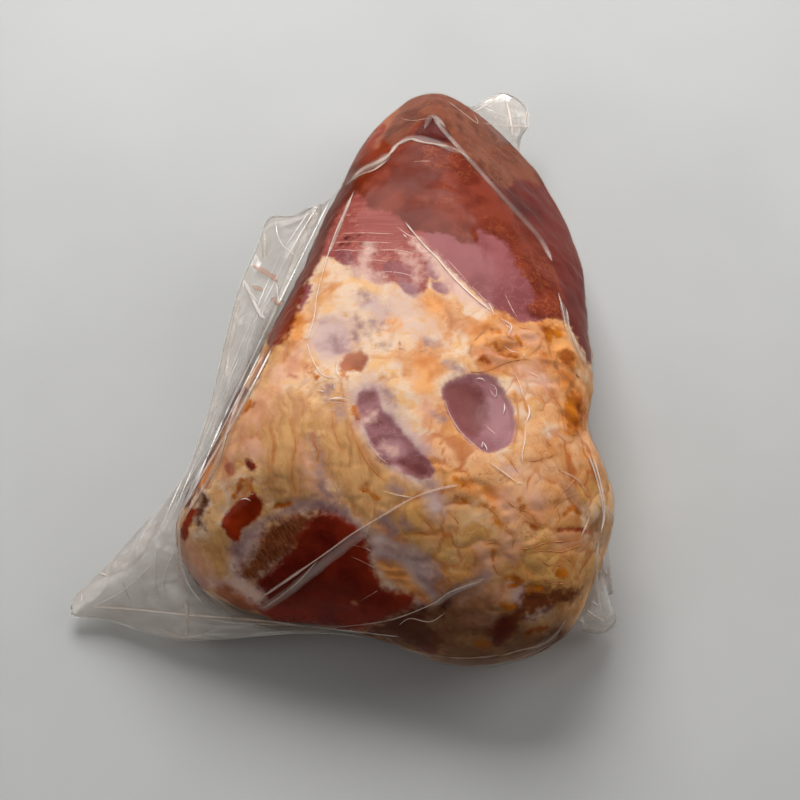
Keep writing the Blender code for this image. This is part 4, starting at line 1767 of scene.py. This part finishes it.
@dataclass
class PorkShoulder:
    """The joint: its form, the relief of its tissues and how deep each place lies in each of them."""

    grid: BlownCube
    form: JointForm = JointForm()
    noise: Noise = field(default_factory=lambda: Noise(11))
    farthest: float = 12.0
    clearance: float = 0.8
    vein_half_width: float = 1.1
    vein_depth: float = 0.5
    lobe_size: float = 15.0
    swell: float = 0.9
    swell_size: float = 26.0
    grain: float = 0.14
    grain_size: float = 7.0
    base: Array = field(init=False)
    seen: Array = field(init=False)
    points: Array = field(init=False)
    normals: Array = field(init=False)
    relief: Array = field(init=False)
    depths: dict[Tissue, Array] = field(init=False)
    washes: dict[Wash, Array] = field(init=False)
    patterns: dict[Pattern, Array] = field(init=False)

    def __post_init__(self) -> None:
        """Shapes and paints the joint."""
        self.base = self.form.surface(self.grid.directions)
        self.normals = self.grid.normals(self.base)
        pixels = CAMERA.pixels_of(self.base)
        self.seen = smooth_step(CAMERA.facing(self.base, self.normals), -0.02, 0.12)
        self.depths, marked = self.read_marks(pixels)
        self.washes = self.read_washes(pixels)
        self.patterns = self.draw_patterns()
        self.relief = marked + self.lobes() + self.fine_relief()
        self.points = self.base + self.relief[:, None] * self.normals
        self.points[:, 2] = np.maximum(self.points[:, 2], self.clearance)

    def read_marks(self, pixels: Array) -> tuple[dict[Tissue, Array], Array]:
        """Projects the marks onto the joint.

        Args:
            pixels: The pixel at which each vertex shows.

        Returns:
            The depth in each tissue in millimetres, and the marks' relief.
        """
        pixel = CAMERA.view_width / CAMERA.pixels
        margin = self.farthest / pixel
        depths = {tissue: np.full(len(pixels), -self.farthest) for tissue in Tissue}
        rise = np.zeros(len(pixels))
        veins = tuple(
            Stroke(line.path, self.vein_half_width * line.share, rise=-self.vein_depth) for line in VEIN_LINES
        )
        for tissue, marks in (MARKS | {Tissue.VEIN: veins}).items():
            for mark in marks:
                low, high = mark.box()
                near = ((pixels > low - margin) & (pixels < high + margin)).all(axis=1)
                depth = np.clip(mark.inside(pixels[near]) * pixel, -self.farthest, self.farthest)
                depths[tissue][near] = np.maximum(depths[tissue][near], depth)
                rise[near] += mark.rise * smooth_step(depth, -1.0, 3.0)
        for tissue, hidden in self.hidden_depths().items():
            depths[tissue] = hidden + (depths[tissue] - hidden) * self.seen
        return depths, rise * self.seen

    def hidden_depths(self) -> dict[Tissue, Array]:
        """The depths on the sides that the photograph doesn't show: lean meat with dark and pale parts.

        Returns:
            The depth in each tissue in millimetres.
        """
        hidden = {tissue: np.full(len(self.base), -self.farthest) for tissue in Tissue}
        broad = self.noise.fractal(self.base, 62.0)
        patchy = self.noise.fractal(self.base + 400.0, 40.0)
        far_side = smooth_step(self.base[:, 1], 40, 120)
        right_side = smooth_step(self.base[:, 0], 40, 80) * (1 - far_side)
        left_side = smooth_step(-self.normals[:, 0], 0.5, 0.8) * smooth_step(self.base[:, 1], -70, -30)
        underneath = smooth_step(-self.normals[:, 2], -0.1, 0.5)
        hidden[Tissue.SMOKED] = 9 * (underneath + 2 * left_side + broad * 1.2 - 0.35)
        hidden[Tissue.FAR_BROWN] = 9 * (far_side * 1.6 - 0.8 + patchy * 0.5)
        hidden[Tissue.MAROON] = 8 * (0.5 + patchy - right_side * 1.3 - far_side * 0.4)
        hidden[Tissue.FIBROUS] = 9 * (broad * 1.3 - 0.05 - far_side - right_side - left_side)
        hidden[Tissue.DARK] = 8 * (-broad * 1.3 - 0.3 - right_side - left_side)
        hidden[Tissue.ORANGE_FAT] = 8 * (patchy + 0.1 - 2 * left_side)
        return hidden

    def read_washes(self, pixels: Array) -> dict[Wash, Array]:
        """The soft changes of colour, and the painted shade.

        Args:
            pixels: The pixel at which each vertex shows.

        Returns:
            The strength of each wash at each vertex.
        """
        washes = {wash: np.zeros(len(pixels)) for wash in Wash}
        for wash, tints in TINTS.items():
            for tint in tints:
                squared = ((pixels - np.array(tint.middle)) ** 2).sum(axis=1)
                blot = tint.strength * np.exp(-squared / tint.reach**2)
                washes[wash] = np.maximum(washes[wash], blot)
        sides = {Wash.PEACH: 0.5, Wash.OCHRE: 0.6, Wash.PAINTED_SHADE: 0.35}
        return {wash: sides[wash] + (value - sides[wash]) * self.seen for wash, value in washes.items()}

    def draw_patterns(self) -> dict[Pattern, Array]:
        """The random patterns that the tissues share.

        Returns:
            Each pattern's value at each vertex.
        """
        swirl = self.base + 4.0 * np.column_stack([
            self.noise.fractal(self.base + 70.0 * k, 12.0, 2) for k in (4, 5, 6)
        ])
        return {
            Pattern.MOTTLE: smooth_step(self.noise.fractal(swirl + 300.0, 9.0, 4), -0.75, 0.75),
            Pattern.BROAD: smooth_step(self.noise.fractal(swirl + 200.0, 24.0, 4), -0.75, 0.75),
            Pattern.BRUISE: 0.6 * smooth_step(self.noise.fractal(swirl + 600.0, 15.0, 4), 0.25, 0.8),
            **self.draw_lobes(),
        }

    def draw_lobes(self) -> dict[Pattern, Array]:
        """The lobes of fat.

        Returns:
            How far each vertex is from the border between two lobes, and its lobe's own tone.
        """
        warped = self.base + 4.5 * np.column_stack([
            self.noise.fractal(self.base + 90.0 * k, 14.0, 3) for k in (1, 2, 3)
        ])
        first, second, tone = self.noise.cells(warped, self.lobe_size)
        return {Pattern.LOBE_EDGE: second - first, Pattern.LOBE_TONE: tone}

    def lobes(self) -> Array:
        """The rounded lobes of the warm fat and its folds.

        Returns:
            Their relief in millimetres at each vertex.
        """
        dome = smooth_step(self.patterns[Pattern.LOBE_EDGE], 0.0, 0.45)
        warm = np.clip(self.washes[Wash.PEACH] + 0.4 * self.washes[Wash.OCHRE], 0, 1)
        curled = self.base * np.array([0.8, 1.3, 1.0]) + 3.0 * self.noise.plain(self.base, 16.0)[:, None]
        folds = 1 - np.abs(self.noise.fractal(curled, 10.0, 2))
        orange = smooth_step(self.depths[Tissue.ORANGE_FAT], -1, 4)
        return (dome - 0.6) * (0.25 + 0.5 * warm) + orange * (folds - 0.7) * 1.8

    def fine_relief(self) -> Array:
        """The unevenness that all of the meat has."""
        swells = self.swell * self.noise.fractal(self.base + 50.0, self.swell_size)
        return swells + self.grain * self.noise.fractal(self.base, self.grain_size, 2)

    def build(self, finish: bpy.types.Material) -> bpy.types.Object:
        """The joint as one piece, with its tissues stored for its material.

        Args:
            finish: Its material.

        Returns:
            The piece, handed over to the frame.
        """
        mesh = mesh_of("pork_shoulder", self.points, self.grid.faces)
        for tissue, depth in self.depths.items():
            keep_values(mesh, tissue.value, depth)
        for stored in (self.washes, self.patterns):
            for name, values in stored.items():
                keep_values(mesh, name.value, values)
        mesh.materials.append(finish)
        return hand_over(show("pork_shoulder", mesh), replaces=True)


# The bag


PLAN_CENTRE = np.array(JointForm.centre)


@dataclass(frozen=True)
class Flap:
    """A loose stretch of the bag: its free edge, and how far up and down the joint it pulls the film."""

    edge: tuple[tuple[float, float, float], ...]
    upper: float
    lower: float
    slack: float
    ripple: float
    samples: int = 400
    closing: float = 0.05

    def spokes(self) -> tuple[float, float]:
        """Where the flap starts and ends.

        Returns:
            The directions of the free edge's two ends from the plan's centre, without a jump between them.
        """
        spokes = np.array(self.edge)[:, :2] - PLAN_CENTRE
        angles = np.unwrap(np.arctan2(spokes[:, 1], spokes[:, 0]))
        return angles[0], angles[-1]

    def free_edge(self, along: Array) -> Array:
        """The free edge.

        Args:
            along: Shares of its length.

        Returns:
            The edge's point at each share.
        """
        edge = open_curve(self.edge, self.samples)
        places = np.linspace(0, 1, self.samples)
        return np.column_stack([np.interp(along, places, edge[:, k]) for k in range(3)])

    def along(self, directions: Array) -> Array:
        """Where each direction is along the flap.

        Args:
            directions: Unit directions from the joint's middle, one a row.

        Returns:
            The share of the way from the flap's first end to its last, below 0 or above 1 outside it.
        """
        first, last = self.spokes()
        angle = np.arctan2(directions[:, 1], directions[:, 0])
        middle = (first + last) / 2
        angle = middle + (angle - middle + math.pi) % (2 * math.pi) - math.pi
        return (angle - first) / (last - first)

    def pull(self, directions: Array) -> Array:
        """How far the film goes towards the free edge.

        Args:
            directions: Unit directions from the joint's middle, one a row.

        Returns:
            The share in each direction, from 0 at the meat to 1 at the free edge.
        """
        along = self.along(directions)
        inside = smooth_step(np.minimum(along, 1 - along), 0.0, self.closing)
        height = np.degrees(np.arcsin(np.clip(directions[:, 2], -1, 1)))
        reach = np.where(height > 0, self.upper, self.lower)
        return inside * np.clip(1 - np.abs(height) / reach, 0, 1) ** self.slack


FLAPS: tuple[Flap, ...] = (
    Flap(
        edge=(
            (-32, 100, 60), (-52, 86, 50), (-68, 88, 42), (-74, 74, 38), (-84, 48, 34), (-91, 15, 30),
            (-98, -20, 26), (-109, -54, 22), (-129, -92, 16), (-148, -101, 13), (-160, -109, 11),
            (-161, -119, 9), (-146, -120, 8), (-115, -130, 9), (-93, -132, 12), (-50, -131, 19),
            (-22, -134, 24), (0, -143, 30),
        ),
        upper=40.0, lower=32.0, slack=1.5, ripple=1.3,
    ),
    Flap(
        edge=((38, 160, 34), (49, 170, 32), (58, 171, 34), (69, 162, 32), (69, 145, 30)),
        upper=30.0, lower=24.0, slack=1.6, ripple=0.6,
    ),
    Flap(
        edge=(
            (95, -76, 46), (98, -92, 34), (99, -106, 26), (104, -111, 22), (101, -113, 19), (106, -122, 12),
            (98, -128, 9), (84, -127, 14),
        ),
        upper=30.0, lower=24.0, slack=1.3, ripple=1.0,
    ),
)


@dataclass
class BagFilm:
    """The clear bag: drawn tight over the joint, and loose in its flaps."""

    grid: BlownCube
    meat: PorkShoulder
    noise: Noise = field(default_factory=lambda: Noise(29))
    gap: float = 0.45
    tightening: int = 40
    clearance: float = 0.15
    loose_from: float = 1.0
    loose_at: float = 8.0
    facet_size: float = 15.0
    crumple_size: float = 13.0
    pleat_size: float = 9.0
    pleat_crease_and_sheen: float = 0.2
    under_ripple: float = 0.3
    points: Array = field(init=False)
    loose: Array = field(init=False)
    crease: Array = field(init=False)

    def __post_init__(self) -> None:
        """Shapes the film."""
        self.points = self.tight()
        self.loose = np.zeros(len(self.points))
        self.crease = np.zeros(len(self.points))
        for flap in FLAPS:
            self.stretch(flap)
        self.keep_off_meat()
        self.points[:, 2] = np.maximum(self.points[:, 2], self.clearance)

    def keep_off_meat(self) -> None:
        """Moves film that a flap pulled into the joint out again, and keeps it loose where it stands off."""
        tree = BVHTree.FromPolygons(self.meat.points.tolist(), self.grid.faces.tolist())
        for row in np.flatnonzero(self.loose > 0):
            point = Vector(self.points[row])
            place, normal, _, _ = tree.find_nearest(point)
            away = (point - place).dot(normal)
            if away < self.gap:
                self.points[row] = place + self.gap * normal
            distance = (point - place).length if away > 0 else 0.0
            self.loose[row] = smooth_step(distance, self.loose_from, self.loose_at)
        self.crease *= self.loose

    def tight(self) -> Array:
        """The film stretched over the joint, so that it spans the hollows rather than following them.

        Returns:
            The film's points, one a row.
        """
        least = self.meat.relief + self.gap
        lift = least
        for _ in range(self.tightening):
            lift = np.maximum(least, self.grid.neighbour_mean(lift))
        return self.meat.base + lift[:, None] * self.meat.normals

    def stretch(self, flap: Flap) -> None:
        """Pulls the film out to a flap's free edge, with the ripples that the pull makes.

        Args:
            flap: The flap.
        """
        directions = self.grid.directions
        pull = flap.pull(directions)
        along = flap.along(directions)
        edge = flap.free_edge(np.clip(along, 0, 1))
        self.points = self.points + pull[:, None] * (edge - self.points)
        facets, _, _ = self.noise.cells(self.points * np.array([1.0, 0.55, 1.0]), self.facet_size)
        crumple = self.noise.fractal(self.points, self.crumple_size)
        unrolled = np.column_stack([along * 90, pull * 34, 0 * pull])
        pleats = 1 - 2 * np.abs(self.noise.fractal(unrolled, self.pleat_size, 2))
        wave = flap.ripple * (0.6 * crumple + 1.0 * pleats + 1.4 * (facets - 0.5)) * 4 * pull * (1 - pull)
        self.points[:, 2] += wave * np.where(directions[:, 2] > 0, 1.0, self.under_ripple)
        self.loose = np.maximum(self.loose, pull)
        # The pleats are real; the milky lines along their ridges are a painted highlight.
        crease = smooth_step(pleats, 0.6, 1.0) * smooth_step(pull, 0.05, 0.4)
        self.crease = np.maximum(self.crease, crease * self.pleat_crease_and_sheen)

    def build(self, finish: bpy.types.Material) -> bpy.types.Object:
        """The film as one piece.

        Args:
            finish: Its material.

        Returns:
            The piece, handed over to the frame.
        """
        mesh = mesh_of("bag_film", self.points, self.grid.faces)
        keep_values(mesh, "loose", self.loose)
        keep_values(mesh, "crease", self.crease)
        mesh.materials.append(finish)
        return hand_over(show("bag_film", mesh))


@dataclass
class Tracer:
    """Lays the photograph's thin lines on a surface, where the camera sees them on it."""

    surface: Array
    faces: Array
    smoothing: int = 1
    longest_step: float = 6.0
    fewest_samples: int = 6
    fewest_points: int = 4
    tree: BVHTree = field(init=False)

    def __post_init__(self) -> None:
        """Prepares the surface for rays."""
        self.tree = BVHTree.FromPolygons(self.surface.tolist(), self.faces.tolist())

    def trace(self, line: Line, lift: float, beads: float, step: float = 3.0) -> list[Rib]:
        """The ribs that follow one line, parted where it leaves the surface or jumps to another fold.

        Args:
            line: The line in the photograph.
            lift: How far the rib's middle is above the surface, in millimetres.
            beads: How uneven the rib is.
            step: The distance between its points in pixels.

        Returns:
            The ribs, of which there may be none.
        """
        corners = np.array(line.path, float)
        length = np.linalg.norm(np.diff(corners, axis=0), axis=1).sum()
        start = Vector(CAMERA.place())
        runs: list[list[Vector]] = [[]]
        last = start
        for pixel in open_curve(corners, max(self.fewest_samples, int(length / step))):
            place, normal, _, _ = self.tree.ray_cast(start, Vector(CAMERA.ray(pixel)))
            if place is None or (runs[-1] and (place - last).length > self.longest_step):
                runs.append([])
            if place is not None:
                last = place
                runs[-1].append(place + lift * normal)
        kept = [smoothed(run, self.smoothing) for run in runs if len(run) >= self.fewest_points]
        return [tapered(points, line.share, beads=beads) for points in kept]

    def trace_all(self, lines: Iterable[Line], lift: float, beads: float = 0.0) -> list[Rib]:
        """The ribs of all the lines that meet the surface."""
        return [rib for line in lines for rib in self.trace(line, lift, beads)]


def smoothed(run: Sequence[Vector], times: int) -> Array:
    """A line with its small kinks taken out.

    Args:
        run: The line's points.
        times: How many times over it is smoothed.

    Returns:
        The new points, one a row.
    """
    points = np.array(run)
    for _ in range(times):
        points[1:-1] = (points[:-2] + 2 * points[1:-1] + points[2:]) / 4
    return points


@dataclass(frozen=True)
class ThinLines:
    """One kind of thin line on the meat or the film: its piece, its look and how its ribs are laid."""

    name: str
    lines: tuple[Line, ...]
    radius: float
    flatness: float
    beads: float
    lift: float

    def build(
        self, tracer: Tracer, tree: RibTree, finish: bpy.types.Material, slot: Slot,
    ) -> bpy.types.Object:
        """The lines as one piece.

        Args:
            tracer: Lays the lines on their surface.
            tree: The node group that makes ribs.
            finish: The material.
            slot: The record's slot; not used.

        Returns:
            The piece, handed over to the frame.
        """
        ribs = tracer.trace_all(self.lines, self.lift, self.beads)
        piece = ribs_piece(self.name, ribs, tree, self.radius, finish, self.flatness)
        return hand_over(piece)


@dataclass(frozen=True)
class Strands:
    """The white fascia and the brown veins that lie on the joint."""

    fascia: ThinLines = ThinLines("fascia_strands", FASCIA_LINES, 0.48, 0.12, beads=0.5, lift=0.0)
    veins: ThinLines = ThinLines("brown_veins", VEIN_LINES, 0.4, 0.12, beads=0.4, lift=0.05)
    white: tuple[int, int, int] = (206, 156, 142)
    brown: tuple[int, int, int] = (190, 120, 66)
    roughness: float = 0.4

    def build(self, meat: PorkShoulder, tree: RibTree) -> list[bpy.types.Object]:
        """Both kinds as pieces on the joint.

        Args:
            meat: The joint.
            tree: The node group that makes ribs.

        Returns:
            The two pieces.
        """
        tracer = Tracer(meat.points, meat.grid.faces)
        white = plain_material("Fascia strands", self.white, self.roughness)
        brown = plain_material("Brown veins", self.brown, self.roughness)
        return [
            self.fascia.build(tracer, tree, white, Slot.MEAT),
            self.veins.build(tracer, tree, brown, Slot.MEAT),
        ]


# The milk of the crease, fold, glint and crumple finishes paints highlights; the pink milk of the last paints
# the meat's reflection.
CREASE_AND_SHEEN = FilmFinish(milk=(240, 214, 200), tight_shine=0.2, loose_shine=0.3, patchy=0.4, roughness=0.3)
FOLD_AND_SHEEN = FilmFinish(milk=(252, 250, 246), tight_shine=0.6, loose_shine=0.6, patchy=0.5)
DOUBLED = FilmFinish(milk=(240, 226, 216), tight_shine=0.1, patchy=0.3, roughness=0.3)
GLINTING = FilmFinish(milk=(252, 238, 228), patchy=0.6)
CRUMPLE_HIGHLIGHT_FINISH = FilmFinish(milk=(250, 244, 240), patchy=0.3)
MEAT_REFLECTION = FilmFinish(milk=(214, 158, 134), patchy=0.4)


@dataclass(frozen=True)
class FilmFolds:
    """The film's creases, doubled bands, loose folds and glints, and the hems of its flaps."""

    creases: ThinLines = ThinLines("film_creases", FILM_CREASES, 0.85, 0.08, beads=0.6, lift=0.1)
    bands: ThinLines = ThinLines("film_bands", FILM_BANDS, 3.6, 0.05, beads=0.15, lift=0.4)
    loose_folds: ThinLines = ThinLines("loose_folds", FLAP_LINES, 0.8, 0.15, beads=0.6, lift=0.5)
    flap_glints: ThinLines = ThinLines("flap_glints", FLAP_GLINTS, 0.45, 0.3, beads=0.4, lift=0.6)
    film_glints: ThinLines = ThinLines("film_glints", FILM_GLINTS, 0.42, 0.3, beads=0.6, lift=0.2)
    crumple_highlights: ThinLines = ThinLines("painted_crumple_highlights", CRUMPLE_HIGHLIGHTS, 1.5, 0.25, beads=0.5, lift=0.5)
    meat_reflections: ThinLines = ThinLines("painted_fold_reflections", CRUMPLE_REFLECTIONS, 2.2, 0.12, beads=0.4, lift=0.4)
    loose_smoothing: int = 14
    hem_span: tuple[float, float] = (0.045, 0.955)
    hem_samples: int = 300
    hem_lift: float = 0.6
    hem_radius: float = 0.45
    hem_beads: float = 0.5

    def build(self, film: BagFilm, tree: RibTree) -> list[bpy.types.Object]:
        """All the lines as pieces on the film.

        Args:
            film: The bag.
            tree: The node group that makes ribs.

        Returns:
            The pieces.
        """
        tight = Tracer(film.points, film.grid.faces)
        loose = Tracer(film.points, film.grid.faces, smoothing=self.loose_smoothing)
        crease = CREASE_AND_SHEEN.material("Creased film and painted sheen", 0.28)
        folded = FOLD_AND_SHEEN.material("Folded film and painted sheen", 0.4)
        band = DOUBLED.material("Doubled film", 0.06)
        glint = GLINTING.material("Glints on film", 0.6)
        crumple_highlights = CRUMPLE_HIGHLIGHT_FINISH.material("Painted highlights on crumpled film", 0.4)
        meat_reflection = MEAT_REFLECTION.material("Painted reflection of the meat in a fold", 0.32)
        laid = (
            (self.creases, tight, crease), (self.bands, tight, band), (self.loose_folds, loose, folded),
            (self.flap_glints, loose, glint), (self.film_glints, tight, glint),
            (self.crumple_highlights, loose, crumple_highlights), (self.meat_reflections, loose, meat_reflection),
        )
        pieces = [lines.build(tracer, tree, finish, Slot.FILM) for lines, tracer, finish in laid]
        # The hems are real edges; their white finish paints highlights along them.
        return pieces + [self.hems(tree, folded)]

    def hems(self, tree: RibTree, finish: bpy.types.Material) -> bpy.types.Object:
        """The flaps' free edges as one piece.

        Args:
            tree: The node group that makes ribs.
            finish: The material.

        Returns:
            The piece, handed over to the frame.
        """
        along = np.linspace(*self.hem_span, self.hem_samples)
        above = np.array([0, 0, self.hem_lift])
        ribs = [tapered(flap.free_edge(along) + above, beads=self.hem_beads) for flap in FLAPS]
        return hand_over(ribs_piece("film_hems", ribs, tree, self.hem_radius, finish))


# The setting


@dataclass(frozen=True)
class Lamp:
    """A square soft light that faces the joint: its place and side in metres and its power in watts."""

    name: str
    place: tuple[float, float, float]
    side: float
    power: float
    aim: tuple[float, float, float] = (0.0, 0.0, 0.04)

    def build(self) -> None:
        """Adds the light."""
        data = bpy.data.lights.new(self.name, "AREA")
        data.shape = "SQUARE"
        data.size = self.side
        data.energy = self.power
        made = bpy.data.objects.new(self.name, data)
        made.location = self.place
        way = Vector(self.aim) - Vector(self.place)
        made.rotation_euler = way.to_track_quat("-Z", "Y").to_euler()
        bpy.context.scene.collection.objects.link(made)


@dataclass(frozen=True)
class Studio:
    """The pale floor, the soft light and the camera."""

    floor_side: float = 3.0
    floor_colour: tuple[int, int, int] = (188, 188, 186)
    floor_roughness: float = 0.6
    lamps: tuple[Lamp, ...] = (
        Lamp("key_light", (-0.15, 1.00, 1.15), 0.9, 23.5),
        Lamp("right_light", (1.10, 0.30, 0.80), 0.9, 6.0),
        Lamp("left_light", (-1.15, -0.35, 0.75), 0.9, 3.0),
    )
    sky: float = 0.135

    def build(self) -> None:
        """Adds the floor, the lights, the world and the camera."""
        half = self.floor_side / 2
        mesh = bpy.data.meshes.new("floor")
        corners = [(-half, -half, 0), (half, -half, 0), (half, half, 0), (-half, half, 0)]
        mesh.from_pydata(corners, [], [(0, 1, 2, 3)])
        mesh.materials.append(plain_material("Pale floor", self.floor_colour, self.floor_roughness))
        floor = show("floor", mesh)
        for lamp in self.lamps:
            lamp.build()
        self.light_world()
        self.set_camera()

    def light_world(self) -> None:
        """An even pale surround."""
        world = bpy.data.worlds.new("Surround")
        world.use_nodes = True
        ground = world.node_tree.nodes["Background"]
        ground.inputs["Color"].default_value = (1.0, 0.99, 0.97, 1)
        ground.inputs["Strength"].default_value = self.sky
        bpy.context.scene.world = world
        bpy.context.scene.view_settings.view_transform = "Standard"

    def set_camera(self) -> None:
        """Stands the camera where the photograph was taken."""
        data = bpy.data.cameras.new("camera")
        data.lens = CAMERA.lens
        data.sensor_width = CAMERA.sensor
        camera = bpy.data.objects.new("camera", data)
        camera.location = Vector(CAMERA.place() * MM)
        camera.rotation_euler = (math.pi / 2 - CAMERA.elevation, 0, 0)
        bpy.context.scene.collection.objects.link(camera)
        bpy.context.scene.camera = camera


def report(piece: bpy.types.Object) -> None:
    """Logs a finished piece and its size."""
    LOG.info("%s: %d faces", piece.name, len(piece.data.polygons))


def main() -> None:
    """Builds the joint, its bag and the setting."""
    logging.basicConfig(level=logging.INFO, format="%(message)s")
    grid = BlownCube()
    meat = PorkShoulder(grid)
    report(meat.build(meat_material()))
    film = BagFilm(grid, meat)
    report(film.build(FilmFinish().material("Clear film")))
    ribs = RibTree()
    for piece in Strands().build(meat, ribs) + FilmFolds().build(film, ribs):
        report(piece)
    Studio().build()


if __name__ == "__main__":
    main()
